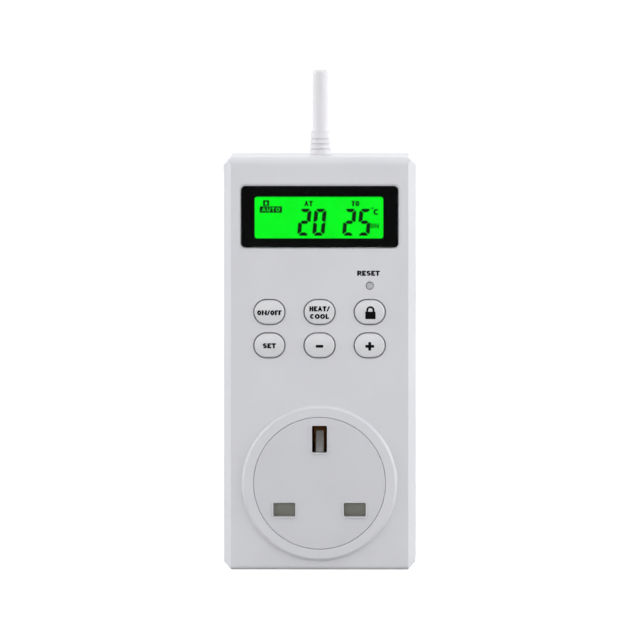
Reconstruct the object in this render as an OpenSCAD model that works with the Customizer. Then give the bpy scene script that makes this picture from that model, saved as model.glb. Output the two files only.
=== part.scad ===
// Plug in temperature controller: a mains adaptor with a display, six keys,
// a shuttered outlet, three plug pins at the back and a short sensor probe on top.
// Millimetres. The front faces -Y, the wall side faces +Y and +Z is up.
// The origin lies on the rear face, midway between the line and neutral pins.

/* [Housing] */
// Width of the housing
body_w = 60.4; // [58:0.1:66]
// Height of the housing
body_h = 130; // [128:0.5:140]
// Depth of the housing, from the front face to the rear face
body_d = 36; // [35:0.5:42]
// Wall of the front shell and of the rear cover's rim
wall_t = 2.2; // [1.8:0.1:2.6]
// Rear wall of the cover
rear_wall_t = 2.5; // [2:0.1:3]
// Depth of the rear cover, which sets where the seam runs
cover_d = 11; // [9:0.5:13]
// Width of the flat bevel down each front side edge
side_bevel = 2.3; // [1.6:0.1:3]
// Leg of the cut across each corner of the front outline
corner_cut = 2.4; // [1.6:0.1:3.2]
// Radius of the rolled front edge at the top
edge_roll_r = 2.6; // [2:0.1:3.4]
// Radius of the front edge at the bottom
edge_foot_r = 1.2; // [0.8:0.1:2.4]
// Chamfer round the rear edge
rear_chamfer = 0.8; // [0.4:0.1:1.2]
// Width and depth of the shadow line at the seam
seam_line = 0.3; // [0.2:0.05:0.4]
// Height of the tongue that locates the cover in the shell
tongue_h = 2; // [1.2:0.1:2.6]
// Thickness of that tongue
tongue_t = 1; // [0.7:0.05:1.2]

/* [Display] */
// Margin from the side of the housing to the window lens
lens_margin = 5.4; // [4.9:0.1:8]
// Height of the window lens
lens_h = 19.6; // [17:0.1:21]
// Corner radius of the window lens
lens_r = 1.5; // [0.8:0.1:2.5]
// Thickness of the window lens
lens_t = 1.1; // [0.8:0.05:1.2]
// Chamfer round the front edge of the lens
lens_chamfer = 0.3; // [0.15:0.05:0.4]
// How far the lens lies below the front face
lens_sink = 0.2; // [0.1:0.05:0.3]
// Black border left and right of the clear part of the window
view_margin = 4.45; // [4:0.05:6]
// Height of the clear part of the window
view_h = 13.1; // [11:0.05:14]
// How far the clear part lies below the middle of the window
view_drop = 0.2; // [0:0.05:0.5]
// Drop from the top of the housing to the window's centre
lens_drop = 18.8; // [18.6:0.1:24]
// Margin from the edge of the lens to the display glass behind it
lcd_margin = 1.8; // [1.4:0.1:3]
// Height of the display glass
lcd_h = 17.6; // [16.6:0.1:18]
// Thickness of the display glass
lcd_t = 2.4; // [2:0.1:2.8]
// Thickness of the light guide behind the glass
light_t = 3; // [2.6:0.1:3.4]

/* [Keys] */
// Width of a key
key_w = 9.45; // [9:0.05:10.2]
// Height of a key
key_h = 7.5; // [7.2:0.1:8.3]
// How far a key stands out of the front face
key_proud = 0.9; // [0.7:0.05:1.4]
// Radius of the crown on a key
key_crown_r = 28; // [20:1:60]
// Leg of the bevel round the front edge of a key
key_bevel = 0.7; // [0.5:0.05:0.8]
// Distance between the key columns, as a share of the housing's width
key_columns_share = 0.2616; // [0.24:0.001:0.27]
// Distance between the key rows
key_pitch_z = 10.5; // [10.3:0.1:11.4]
// Share of the spare height between the boss and the display frame that lies below the keys
key_place_share = 0.618; // [0.3:0.001:0.9]
// How far a key is pressed
key_travel = 0.5; // [0.3:0.05:0.6]
// Gap round a key in its opening
key_gap = 0.35; // [0.25:0.05:0.45]
// Diameter of the reset button
reset_d = 2.1; // [1.8:0.1:2.4]
// Distance from the upper key row to the reset button
reset_step = 8.3; // [7.8:0.1:10]

/* [Outlet] */
// Gap between the bottom of the housing and the boss round the outlet
boss_margin = 2.8; // [2.5:0.1:5]
// Width of the raised rim round the outlet insert
boss_rim = 3.75; // [3:0.05:4]
// How far the boss stands out of the front face
boss_proud = 1; // [0.6:0.1:1.4]
// Chamfer round the boss
boss_chamfer = 0.75; // [0.4:0.05:0.9]
// Diameter of the round outlet insert
insert_d = 41.5; // [41:0.1:42.5]
// Distance between the line and neutral pins, and from them to the earth pin
pin_pitch = 22.2; // [22.1:0.05:22.3]
// Height of the earth slot's centre above the outlet's centre
earth_slot_rise = 13.9; // [13.5:0.1:14.3]
// Width of a line or neutral slot
slot_w = 6.9; // [6.7:0.1:7.2]
// Height of a line or neutral slot
slot_h = 4.3; // [4.2:0.05:4.6]
// Width of the earth slot
earth_slot_w = 4.7; // [4.5:0.1:5]
// Height of the earth slot
earth_slot_h = 8.5; // [8.3:0.1:8.8]
// How far the shutter drops to uncover the slots
shutter_travel = 6.6; // [6.2:0.1:6.8]

/* [Plug] */
// Height of the line and neutral pins, as a share of the housing's height
plug_rise_share = 0.5077; // [0.5:0.0001:0.515]
// Width of a line or neutral pin
pin_w = 6.35; // [6.25:0.05:6.45]
// Thickness of every pin
pin_t = 4; // [3.9:0.05:4.05]
// Length of a line or neutral pin outside the housing
pin_len = 17.7; // [17.2:0.1:18.2]
// Length of the insulating sleeve on a line or neutral pin
sleeve_len = 9.5; // [9:0.1:10]
// Height of the earth pin's section
earth_pin_h = 7.95; // [7.8:0.05:8.05]
// Length of the earth pin outside the housing
earth_pin_len = 22.7; // [22.2:0.1:23.4]

/* [Probe] */
// Diameter of the probe tube
probe_d = 4.9; // [4.2:0.1:5]
// Length of the probe tube that shows above the boot
probe_len = 19.5; // [14:0.1:24]
// Radius of the rounded edge at the tip of the tube
probe_round = 1.1; // [0.5:0.1:1.5]
// Diameter of the boot at its foot
boot_foot_d = 7; // [6.9:0.1:7.4]
// Diameter of the boot at its top
boot_top_d = 6; // [5.8:0.1:6.2]
// Height of the boot above the housing
boot_h = 7.2; // [6:0.1:9]

/* [Boards] */
// Thickness of the circuit boards
board_t = 1.6; // [1.2:0.1:1.8]
// Gap between the side walls and the circuit boards
board_gap = 1.5; // [0.8:0.1:2.5]
// Gap between the rear wall of the cover and the power board
standoff_h = 4.9; // [4.6:0.1:5.4]
// Height of the relay on the power board
relay_h = 15.2; // [13:0.1:15.6]

/* [Hidden] */

// Resolution of the true round forms
$fn = 96;
// Overrun of every cut past the face that it goes through
cut = 0.5;
// Gap between pieces that stand still beside each other
fit = 0.1;
// Radial gap of a sliding or trapped round piece
run = 0.05;
// Gap on each side of a sliding flat piece
slide_gap = 0.2;
// Share of a leg that a 45 degree cut loses for each unit of inset
corner_share = 2 - sqrt(2);

// Housing stations
half_w = body_w / 2;
z_low = -plug_rise_share * body_h;
z_high = z_low + body_h;
y_front = -body_d;
y_skin = y_front + wall_t;
y_seam = -cover_d;
y_rear_in = -rear_wall_t;
in_x = half_w - wall_t;
in_low = z_low + wall_t;
in_high = z_high - wall_t;

// Case screws and their bosses
screw_d = 2.9;
screw_len = 12;
screw_head_d = 5.4;
screw_head_h = 2;
screw_seat = 5;
screw_well_d = 6;
boss_r = 3.3;
pillar_r = 4;
boss_bite = 0.2;
boss_x = in_x - boss_r + boss_bite;
boss_z_high = in_high - boss_r + boss_bite;
boss_z_low = in_low + boss_r - boss_bite;
recess_w = 0.9;
recess_l = 3;
recess_depth = 1.1;
head_top_share = 0.8;

// Display stack
lens_z = z_high - lens_drop;
lens_w = body_w - 2 * lens_margin;
view_w = lens_w - 2 * view_margin;
lcd_w = lens_w - 2 * lcd_margin;
mask_t = 0.1;
window_gap = 0.1;
rim_w = 0.45;
rim_depth = 0.25;
ledge_w = 2.4;
frame_rib_t = 1;
frame_rib_h = 3.6;
y_lens = y_front + lens_sink;
y_mask = y_lens + lens_t;
y_ledge = y_mask + mask_t;
y_board = y_skin + lcd_t + light_t;
y_board_back = y_board + board_t;
zebra_h = 1.6;
light_inset = 1.8;

// Places of the outlet and the keys
boss_d = insert_d + 2 * boss_rim;
outlet_z = z_low + boss_margin + boss_d / 2;
boss_top = outlet_z + boss_d / 2;
reset_flange_r = 2.3;
keys_h = key_h / 2 + key_pitch_z + reset_step + reset_flange_r;
spare_h = lens_z - lcd_h / 2 - fit - frame_rib_t - boss_top - keys_h;
key_low_z = boss_top + key_place_share * spare_h + key_h / 2;
key_z = key_low_z + key_pitch_z;
key_pitch_x = key_columns_share * body_w;
reset_z = key_z + reset_step;

// Ears of the contact carrier
ear_in = 1.75;
ear_x = insert_d / 2 - ear_in;
ear_up = 22;
ear_r = 3;

// Stiffening ribs of both halves
rib_t = 1.2;
rib_h = 3;

// Control board, whose lower edge lies midway between the ears and the lowest switches
switch_w = 6;
board_w = 2 * (in_x - board_gap);
board_edge_gap = 0.4;
board_screw_drop = 13.7;
board_screw_edge = 3;
board_screw_side = 2.1;
board_top = boss_z_high - boss_r - board_edge_gap;
board_low = (outlet_z + ear_up + ear_r + key_low_z - switch_w / 2) / 2;
board_screw_x = board_w / 2 - board_screw_side;
board_screw_zs = [lens_z - board_screw_drop, board_low + board_screw_edge];
board_boss_r = 2.3;
board_screw_d = 2.2;
board_screw_len = 6.5;
board_screw_head_d = 4;
board_screw_head_h = 1.4;

// Keys, their switches and plungers
key_flange = 0.8;
key_flange_t = 1;
key_back_gap = 0.05;
y_key_flange = y_skin + key_back_gap;
y_key_back = y_key_flange + key_flange_t;
reset_sink = 0.4;
reset_gap = 0.2;
switch_h = 3.5;
switch_leg_w = 0.7;
switch_leg_out = 0.8;
switch_leg_z = 2.2;
plunger_r = 1.75;
plunger_len = 2.2;
plunger_end_gap = 0.05;
plunger_floor_gap = 0.1;
plunger_well = plunger_len + key_travel + plunger_floor_gap;
y_plunger = y_key_back + plunger_end_gap;
y_switch = y_board - switch_h;

// Outlet
insert_lip = 1.05;
insert_flange_r = insert_d / 2 + insert_lip;
insert_flange_t = 1.2;
insert_chamfer = 0.15;
insert_gap = 0.1;
rim_out = 0.5;
rim_up = 0.25;
slot_r = 0.4;
live_z = outlet_z + earth_slot_rise - pin_pitch;
earth_z = outlet_z + earth_slot_rise;
y_boss = y_front - boss_proud;
y_insert_back = y_skin + insert_flange_t;

// Shutter
shutter_t = 1.8;
shutter_cover = 1.2;
shutter_side = 0.75;
shutter_web_w = 8;
ramp_w = 2.5;
ramp_tip = 1.2;
web_drop = 0.65;
foot_w = 5;
foot_t = 1.6;
foot_depth = 3.2;
y_shutter = y_insert_back + slide_gap;
y_shutter_back = y_shutter + shutter_t;
shutter_half_w = pin_pitch / 2 + slot_w / 2 + shutter_side;
shutter_low = live_z - slot_h / 2 - shutter_cover;
shutter_high = live_z + slot_h / 2 + shutter_cover;
earth_slot_low = earth_z - earth_slot_h / 2;
ramp_low = earth_slot_low - web_drop;
ramp_rise = shutter_travel;
spring_r = 1.5;
spring_wire_r = 0.2;
spring_turns = 5;
spring_steps = 8;
wire_sides = 6;
spring_len = 9;
spring_seat = 0.02;
spring_y = y_shutter_back + foot_depth / 2;

// Contact carrier
y_carrier = y_shutter_back + slide_gap;
carrier_t = 1.5;
carrier_w = 37;
carrier_h = 41;
carrier_r = 3;
rail_w = 1.4;
tower_wall = 1.1;
tower_end = 12.4;
live_room_w = 7;
live_room_h = 7.6;
hold_x = pin_pitch / 2 + live_room_w / 2 + tower_wall;
earth_room_w = 7.6;
earth_room_h = 9.2;
carrier_screw_d = 2.2;
carrier_screw_len = 6;
spring_pocket_w = 5.6;
spring_ledge_t = 1.4;

// Contacts
strip_t = 0.6;
clip_gap = 3.5;
clip_len = 14.5;
clip_flare = 0.9;
clip_mouth = 2.6;
clip_waist_share = 0.45;
clip_bow = 0.55;
live_clip_w = 6.6;
earth_clip_w = 8.8;
y_clip_back = -tower_end - strip_t;

// Plug pins
earth_pin_z = pin_pitch;
pin_neck = 0.7;
pin_tip = 1.2;
collar_out = 1.1;
collar_t = 1.9;
tail_w = 4;
tail_t = 1.2;
tail_len = 6.2;
pocket_wall = 1.2;
y_collar = y_rear_in - collar_t;

// Bars between the pins and the contacts
bar_t = 0.8;
bar_w = 5;
line_bar_top = -8.4;
bar_over = 2.6;
y_bar = y_collar - bar_t;

// Power board and what stands on it
y_power_back = y_rear_in - standoff_h;
y_power = y_power_back - board_t;
power_edge_gap = 0.7;
power_drop = 12;
power_top = boss_z_high - pillar_r - power_edge_gap;
power_low = -power_drop;
post_r = 2.6;
post_side = 3.1;
post_x = board_w / 2 - post_side;
post_edge = 3.8;
hold_r = 1.8;
post_zs = [power_top - post_edge, power_low + post_edge];
relay_w = 15.6;
relay_l = 19;
relay_side = 13.7;
relay_drop = 21.6;
relay_x = relay_side - board_w / 2;
relay_z = power_top - relay_drop;
relay_lip = 0.5;
film_w = 10;
film_l = 18;
film_h = 14.6;
film_side = 10.5;
film_drop = 15.6;
film_x = board_w / 2 - film_side;
film_z = power_top - film_drop;
film_r = 1;
can_r = 5;
can_h = 13;
can_side = 6;
can_x = board_w / 2 - can_side;
can_z = 13.4;
can_groove = 0.4;
can_sleeve = 0.15;
disc_r = 5.5;
disc_t = 3.6;
disc_x = 0;
disc_z = -5;
disc_leg = 1.6;
wire_r = 0.35;
diode_r = 1.3;
diode_len = 4.2;
diode_pitch = 5;
diode_x = -5.6;
diode_z = 6;
diode_count = 4;
fuse_r = 1.7;
fuse_len = 8;
fuse_side = 7.5;
fuse_x = fuse_side - board_w / 2;
fuse_z = 5;
header_w = 7.4;
header_front = 2.2;
header_h = 5.2;
header_drop = 6.6;
header_z = power_top - header_drop;

// Parts on the back of the control board
chip_w = 10;
chip_t = 1.5;
chip_x = 11;
chip_drop = 2.2;
chip_z = lens_z - chip_drop;
chip_leg_pitch = 1;
chip_legs = 8;
chip_leg_w = 0.4;
chip_leg_out = 1;
chip_leg_t = 0.5;
cell_r = 8;
cell_t = 3.2;
cell_x = 1;
cell_up = 1.3;
cell_z = key_low_z + cell_up;
cell_rim = 0.5;

// Row of pins between the boards, above the cell
link_spacing = 2.54;
link_pins = 6;
link_pin_w = 0.64;
link_block = 2.5;
link_x = 3;
link_up = 10;
link_z = cell_z + link_up;

// Probe
probe_bore_r = 1.6;
probe_below = 5;
bead_r = 1.35;
lead_r = 0.3;
lead_x = 0.7;
bead_back = 1;
boot_neck_r = 3.1;
boot_flange_r = 4.2;
boot_flange_t = 1.4;
boot_rings = 3;
boot_groove = 0.35;
boot_groove_w = 0.5;
boot_ring_pitch = 1.6;
boot_ring_foot = 1.7;
y_probe = y_seam;

KEY_PLACES = [
  [-key_pitch_x, key_z], [0, key_z], [key_pitch_x, key_z],
  [-key_pitch_x, key_low_z], [0, key_low_z], [key_pitch_x, key_low_z]
];
RESET_PLACE = [key_pitch_x, reset_z];

function cut_leg(leg, inset) = max(leg - inset * corner_share, 0);

// Extrudes a front view outline from y_near to y_far
module slab(y_near, y_far) {
  translate([0, y_far, 0]) rotate([90, 0, 0]) linear_extrude(y_far - y_near) children();
}

// Extrudes a side view outline from x_from to x_to
module side_slab(x_from, x_to) {
  translate([x_from, 0, 0]) rotate([90, 0, 90]) linear_extrude(x_to - x_from) children();
}

// Round bar along Y, between two stations
module y_rod(x, z, r, y_near, y_far) {
  translate([x, y_far, z]) rotate([90, 0, 0]) cylinder(h = y_far - y_near, r = r);
}

// Cone along Y, r_near at the front and r_far at the back
module y_cone(x, z, r_near, r_far, y_near, y_far) {
  translate([x, y_far, z]) rotate([90, 0, 0]) cylinder(h = y_far - y_near, r1 = r_far, r2 = r_near);
}

// Upright box given by its middle in X and Z
module block(x, z, w, h, y_near, y_far) {
  translate([x - w / 2, y_near, z - h / 2]) cube([w, y_far - y_near, h]);
}

module rounded(w, h, r) {
  square([w - 2 * r, h], center = true);
  square([w, h - 2 * r], center = true);
  for (sx = [-1, 1], sz = [-1, 1])
    translate([sx * (w / 2 - r), sz * (h / 2 - r)]) circle(r);
}

module pill(w, h) {
  square([w - h, h], center = true);
  for (side = [-1, 1]) translate([side * (w - h) / 2, 0]) circle(h / 2);
}

// Plate with round corners whose front edge is bevelled all round
module bevelled_plate(w, h, r, leg, y_near, y_far) {
  slab(y_near + leg, y_far) rounded(w, h, r);
  for (sx = [-1, 1], sz = [-1, 1])
    y_cone(sx * (w / 2 - r), sz * (h / 2 - r), r - leg, r, y_near, y_near + leg);
  side_slab(r - w / 2, w / 2 - r) bevel_profile(h, leg, y_near);
  translate([0, 0, r - h / 2]) linear_extrude(h - 2 * r) polygon([
    [leg - w / 2, y_near], [w / 2 - leg, y_near], [w / 2, y_near + leg], [-w / 2, y_near + leg]
  ]);
}

// Upright section of a bevelled front edge, its depth first
module bevel_profile(h, leg, y_near) {
  polygon([
    [y_near, leg - h / 2], [y_near, h / 2 - leg], [y_near + leg, h / 2], [y_near + leg, -h / 2]
  ]);
}

// Front view of the housing with its corners cut
module front_outline(inset) {
  x = half_w - inset;
  low = z_low + inset;
  high = z_high - inset;
  leg = cut_leg(corner_cut, inset);
  polygon([
    [-x + leg, low], [x - leg, low], [x, low + leg], [x, high - leg],
    [x - leg, high], [-x + leg, high], [-x, high - leg], [-x, low + leg]
  ]);
}

// Plan of the housing: bevelled front sides and a chamfered rear edge
module plan_outline(inset, y_back, back_leg) {
  x = half_w - inset;
  near = y_front + inset;
  leg = cut_leg(side_bevel, inset);
  polygon([
    [-x + leg, near], [x - leg, near], [x, near + leg], [x, y_back - back_leg],
    [x - back_leg, y_back], [-x + back_leg, y_back], [-x, y_back - back_leg], [-x, near + leg]
  ]);
}

// Side view of the housing: rolled front edges and a chamfered rear edge
module side_outline(inset, y_back, back_leg) {
  r_high = max(edge_roll_r - inset, fit);
  r_low = max(edge_foot_r - inset, fit);
  near = y_front + inset;
  low = z_low + inset;
  high = z_high - inset;
  polygon([
    [near, low + r_low], [near + r_low, low], [y_back - back_leg, low], [y_back, low + back_leg],
    [y_back, high - back_leg], [y_back - back_leg, high], [near + r_high, high], [near, high - r_high]
  ]);
  translate([near + r_high, high - r_high]) circle(r_high);
  translate([near + r_low, low + r_low]) circle(r_low);
}

// The housing's outer form, drawn in by an inset on every side but the back
module envelope(inset, y_back, back_leg) {
  intersection() {
    slab(y_front - cut, y_back + cut) front_outline(inset);
    translate([0, 0, z_low - cut])
      linear_extrude(body_h + 2 * cut) plan_outline(inset, y_back, back_leg);
    side_slab(-half_w - cut, half_w + cut) side_outline(inset, y_back, back_leg);
  }
}

// Everything between two depths
module between(y_near, y_far) {
  translate([-half_w - cut, y_near, z_low - cut])
    cube([body_w + 2 * cut, y_far - y_near, body_h + 2 * cut]);
}

module at_case_screws() {
  for (side = [-1, 1], z = [boss_z_low, boss_z_high]) translate([side * boss_x, 0, z]) children();
}

module at_board_screws() {
  for (side = [-1, 1], z = board_screw_zs) translate([side * board_screw_x, 0, z]) children();
}

module at_posts() {
  for (side = [-1, 1], z = post_zs) translate([side * post_x, 0, z]) children();
}

module at_ears() {
  for (side = [-1, 1]) translate([side * ear_x, 0, outlet_z + ear_up]) children();
}

// Pan head screw along Y, driven from the back, with a cross recess
module screw(y_head, r, length, head_r, head_h) {
  difference() {
    union() {
      y_rod(0, 0, r, y_head - length, y_head);
      y_cone(0, 0, head_r, head_r * head_top_share, y_head, y_head + head_h);
    }
    for (turn = [0, 90]) rotate([0, turn, 0])
      block(0, 0, recess_l * head_r / (screw_head_d / 2), recess_w * head_r / (screw_head_d / 2),
        y_head + head_h - recess_depth * head_h / screw_head_h, y_head + head_h + cut);
  }
}

module shell_bosses() {
  at_case_screws() y_rod(0, 0, boss_r, y_skin - boss_bite, y_seam);
  at_board_screws() y_rod(0, 0, board_boss_r, y_skin - boss_bite, y_board);
  at_ears() y_rod(0, 0, board_boss_r, y_skin - boss_bite, y_carrier);
}

module shell_pilots() {
  at_case_screws() y_rod(0, 0, screw_d / 2 + run, y_seam - screw_len, y_seam + cut);
  at_board_screws()
    y_rod(0, 0, board_screw_d / 2 + run, y_board - board_screw_len + board_t, y_board + cut);
  at_ears()
    y_rod(0, 0, carrier_screw_d / 2 + run, y_carrier - carrier_screw_len + 2 * carrier_t, y_carrier + cut);
}

// Rib that frames the display glass behind the front wall
module lcd_frame() {
  translate([0, 0, lens_z]) slab(y_skin - boss_bite, y_skin + frame_rib_h) difference() {
    square([lcd_w + 2 * fit + 2 * frame_rib_t, lcd_h + 2 * fit + 2 * frame_rib_t], center = true);
    square([lcd_w + 2 * fit, lcd_h + 2 * fit], center = true);
  }
}

// Rib across the front wall, between the ears of the carrier and the control board
module cross_rib() {
  rib_z = (outlet_z + ear_up + ear_r + board_low) / 2;
  block(0, rib_z, 2 * in_x + 2 * fit, rib_t, y_skin - boss_bite, y_skin + rib_h);
}

module front_openings() {
  translate([0, 0, lens_z]) {
    slab(y_front - cut, y_ledge)
      rounded(lens_w + 2 * window_gap, lens_h + 2 * window_gap, lens_r + window_gap);
    slab(y_front - cut, y_front + rim_depth)
      rounded(lens_w + 2 * window_gap + 2 * rim_w, lens_h + 2 * window_gap + 2 * rim_w, lens_r + rim_w);
    slab(y_front, y_skin + cut)
      rounded(lens_w - 2 * ledge_w, lens_h - ledge_w, lens_r);
  }
  for (place = KEY_PLACES) translate([place[0], 0, place[1]])
    slab(y_front - cut, y_skin + cut) pill(key_w + 2 * key_gap, key_h + 2 * key_gap);
  y_rod(RESET_PLACE[0], RESET_PLACE[1], reset_d / 2 + reset_gap, y_front - cut, y_skin + cut);
  y_cone(RESET_PLACE[0], RESET_PLACE[1], reset_d / 2 + 2 * reset_gap + cut, reset_d / 2 + reset_gap,
    y_front - cut, y_front + reset_gap);
  y_rod(0, outlet_z, insert_d / 2 + insert_gap, y_boss - cut, y_skin + cut);
  y_cone(0, outlet_z, insert_d / 2 + insert_gap + insert_chamfer + cut, insert_d / 2 + insert_gap,
    y_boss - cut, y_boss + insert_chamfer);
}

// Round hole in the top wall for the neck of the probe boot
module probe_hole() {
  translate([0, y_probe, in_high - tongue_h]) cylinder(h = wall_t + tongue_h + cut, r = boot_neck_r + run);
  translate([0, y_probe, in_high - 2 * boot_flange_t])
    cylinder(h = 2 * boot_flange_t, r = boot_flange_r + run);
}

module front_shell() {
  color("gainsboro") difference() {
    union() {
      difference() {
        intersection() {
          envelope(0, 0, rear_chamfer);
          between(y_front - cut, y_seam);
        }
        envelope(wall_t, 0, 0);
        intersection() {
          envelope(wall_t - tongue_t - fit, 0, 0);
          between(y_seam - tongue_h - fit, y_seam + cut);
        }
      }
      y_cone(0, outlet_z, boss_d / 2 - boss_chamfer, boss_d / 2, y_boss, y_boss + boss_chamfer);
      y_rod(0, outlet_z, boss_d / 2, y_boss + boss_chamfer, y_front + wall_t / 2);
      intersection() {
        shell_bosses();
        envelope(wall_t / 2, 0, 0);
      }
      lcd_frame();
      cross_rib();
    }
    shell_pilots();
    front_openings();
    probe_hole();
    difference() {
      between(y_seam - seam_line, y_seam + cut);
      envelope(seam_line, 0, 0);
    }
  }
}

// Wall round the collar of a pin, inside the rear cover
module pocket(x, z, w, h) {
  block(x, z, w + 2 * collar_out + 2 * fit + 2 * pocket_wall, h + 2 * collar_out + 2 * fit + 2 * pocket_wall,
    y_collar + fit, y_rear_in + fit);
}

module collar_room(x, z, w, h) {
  block(x, z, w + 2 * collar_out + 2 * fit, h + 2 * collar_out + 2 * fit, y_collar - cut, y_rear_in);
  block(x, z, w + 2 * run, h + 2 * run, y_collar, cut);
}

// Upright ribs below the power board, between the carrier's holders and the pillars
module cover_ribs() {
  rib_x = (hold_x + hold_r + boss_x - pillar_r) / 2;
  for (side = [-1, 1]) translate([side * rib_x - rib_t / 2, y_rear_in - rib_h, in_low - fit])
    cube([rib_t, rib_h + fit, power_low - in_low + fit]);
}

module rear_cover() {
  color("gainsboro") difference() {
    union() {
      difference() {
        intersection() {
          envelope(0, 0, rear_chamfer);
          between(y_seam, cut);
        }
        envelope(wall_t, y_rear_in, 0);
      }
      difference() {
        intersection() {
          envelope(wall_t - tongue_t, y_rear_in, 0);
          between(y_seam - tongue_h, y_rear_in);
        }
        envelope(wall_t, y_rear_in, 0);
        at_case_screws() y_rod(0, 0, boss_r + fit, y_seam - tongue_h - cut, y_seam);
      }
      intersection() {
        at_case_screws() y_rod(0, 0, pillar_r, y_seam, y_rear_in + fit);
        envelope(wall_t / 2, 0, rear_chamfer);
      }
      at_posts() y_rod(0, 0, post_r, y_power_back, y_rear_in + fit);
      cover_ribs();
      for (side = [-1, 1]) y_rod(side * hold_x, live_z, hold_r, -tower_end, y_rear_in + fit);
      for (side = [-1, 1]) pocket(side * pin_pitch / 2, 0, pin_w, pin_t);
      pocket(0, earth_pin_z, pin_t, earth_pin_h);
    }
    at_case_screws() {
      y_rod(0, 0, screw_d / 2 + fit, y_seam - cut, cut);
      y_rod(0, 0, screw_well_d / 2, -screw_seat, cut);
    }
    at_posts() y_rod(0, 0, board_screw_d / 2 + run, y_power_back - cut, y_rear_in);
    for (side = [-1, 1]) collar_room(side * pin_pitch / 2, 0, pin_w, pin_t);
    collar_room(0, earth_pin_z, pin_t, earth_pin_h);
    probe_hole();
  }
}

module display_lens() {
  color("lightgrey", 0.4) translate([0, 0, lens_z])
    bevelled_plate(lens_w, lens_h, lens_r, lens_chamfer, y_lens, y_mask);
}

module display_mask() {
  color("black") translate([0, 0, lens_z]) slab(y_mask, y_ledge) difference() {
    rounded(lens_w, lens_h, lens_r);
    translate([0, -view_drop]) rounded(view_w, view_h, lens_r / 2);
  }
}

module lcd_glass() {
  color("lime") translate([0, 0, lens_z]) {
    slab(y_skin, y_skin + lcd_t / 2) square([lcd_w, lcd_h], center = true);
    slab(y_skin + lcd_t / 2, y_skin + lcd_t) square([lcd_w, lcd_h - lcd_t / 2], center = true);
  }
}

module light_guide() {
  color("white") translate([0, 0, lens_z]) slab(y_skin + lcd_t, y_board)
    square([lcd_w - 2 * light_inset, lcd_h - lcd_t / 2 - 2 * zebra_h - 2 * fit], center = true);
}

module zebra_strips() {
  color("dimgrey") for (side = [-1, 1])
    block(0, lens_z + side * (lcd_h / 2 - lcd_t / 4 - zebra_h / 2), lcd_w - 2 * light_inset, zebra_h,
      y_skin + lcd_t, y_board);
}

module control_board() {
  color("darkgreen") difference() {
    translate([-board_w / 2, y_board, board_low]) cube([board_w, board_t, board_top - board_low]);
    at_board_screws() y_rod(0, 0, board_screw_d / 2 + fit, y_board - cut, y_board_back + cut);
  }
}

// Pill with a bevelled front edge, from which the crown is cut
module key_body() {
  slab(y_front - key_proud + key_bevel, y_key_flange) pill(key_w, key_h);
  for (side = [-1, 1])
    y_cone(side * (key_w - key_h) / 2, 0, key_h / 2 - key_bevel, key_h / 2,
      y_front - key_proud, y_front - key_proud + key_bevel);
  side_slab((key_h - key_w) / 2, (key_w - key_h) / 2) bevel_profile(key_h, key_bevel, y_front - key_proud);
}

// Crowned key with a flange that the front wall holds back
module key() {
  color("whitesmoke") {
    intersection() {
      key_body();
      translate([0, y_front - key_proud + key_crown_r, 0]) sphere(key_crown_r, $fn = 192);
    }
    slab(y_key_flange, y_key_back) pill(key_w + 2 * key_flange, key_h + 2 * key_flange);
  }
}

module at_place(place) {
  translate([place[0], 0, place[1]]) children();
}

module key_on_off() { at_place(KEY_PLACES[0]) key(); }
module key_heat_cool() { at_place(KEY_PLACES[1]) key(); }
module key_lock() { at_place(KEY_PLACES[2]) key(); }
module key_set() { at_place(KEY_PLACES[3]) key(); }
module key_minus() { at_place(KEY_PLACES[4]) key(); }
module key_plus() { at_place(KEY_PLACES[5]) key(); }

module reset_button() {
  color("whitesmoke") at_place(RESET_PLACE) {
    y_rod(0, 0, reset_d / 2, y_front + reset_sink, y_key_flange);
    y_rod(0, 0, reset_flange_r, y_key_flange, y_key_back);
  }
}

// Body of a tactile switch, with the well that its plunger slides in
module switch_body() {
  difference() {
    block(0, 0, switch_w, switch_w, y_switch, y_board);
    y_rod(0, 0, plunger_r + run, y_switch - cut, y_plunger + plunger_well);
  }
  for (side = [-1, 1], end = [-1, 1])
    block(side * (switch_w / 2 + switch_leg_out / 2), end * switch_leg_z, switch_leg_out, switch_leg_w,
      y_board - switch_leg_w, y_board);
}

module switch_bodies() {
  color("dimgrey") {
    for (place = KEY_PLACES) at_place(place) switch_body();
    at_place(RESET_PLACE) switch_body();
  }
}

module plunger() {
  color("saddlebrown") y_rod(0, 0, plunger_r, y_plunger, y_plunger + plunger_len);
}

module plunger_on_off() { at_place(KEY_PLACES[0]) plunger(); }
module plunger_heat_cool() { at_place(KEY_PLACES[1]) plunger(); }
module plunger_lock() { at_place(KEY_PLACES[2]) plunger(); }
module plunger_set() { at_place(KEY_PLACES[3]) plunger(); }
module plunger_minus() { at_place(KEY_PLACES[4]) plunger(); }
module plunger_plus() { at_place(KEY_PLACES[5]) plunger(); }
module plunger_reset() { at_place(RESET_PLACE) plunger(); }

// Places the outline of each pin slot, grown by a margin
module slot_outlines(margin) {
  for (side = [-1, 1]) translate([side * pin_pitch / 2, live_z])
    rounded(slot_w + 2 * margin, slot_h + 2 * margin, slot_r + margin);
  translate([0, earth_z]) rounded(earth_slot_w + 2 * margin, earth_slot_h + 2 * margin, slot_r + margin);
}

module outlet_insert() {
  color("gainsboro") difference() {
    union() {
      y_cone(0, outlet_z, insert_d / 2 - insert_chamfer, insert_d / 2, y_boss, y_boss + insert_chamfer);
      y_rod(0, outlet_z, insert_d / 2, y_boss + insert_chamfer, y_insert_back);
      y_rod(0, outlet_z, insert_flange_r, y_skin, y_insert_back);
      slab(y_boss - rim_up, y_boss + rim_up) slot_outlines(rim_out);
    }
    slab(y_boss - cut, y_insert_back + cut) slot_outlines(0);
  }
}

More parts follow.
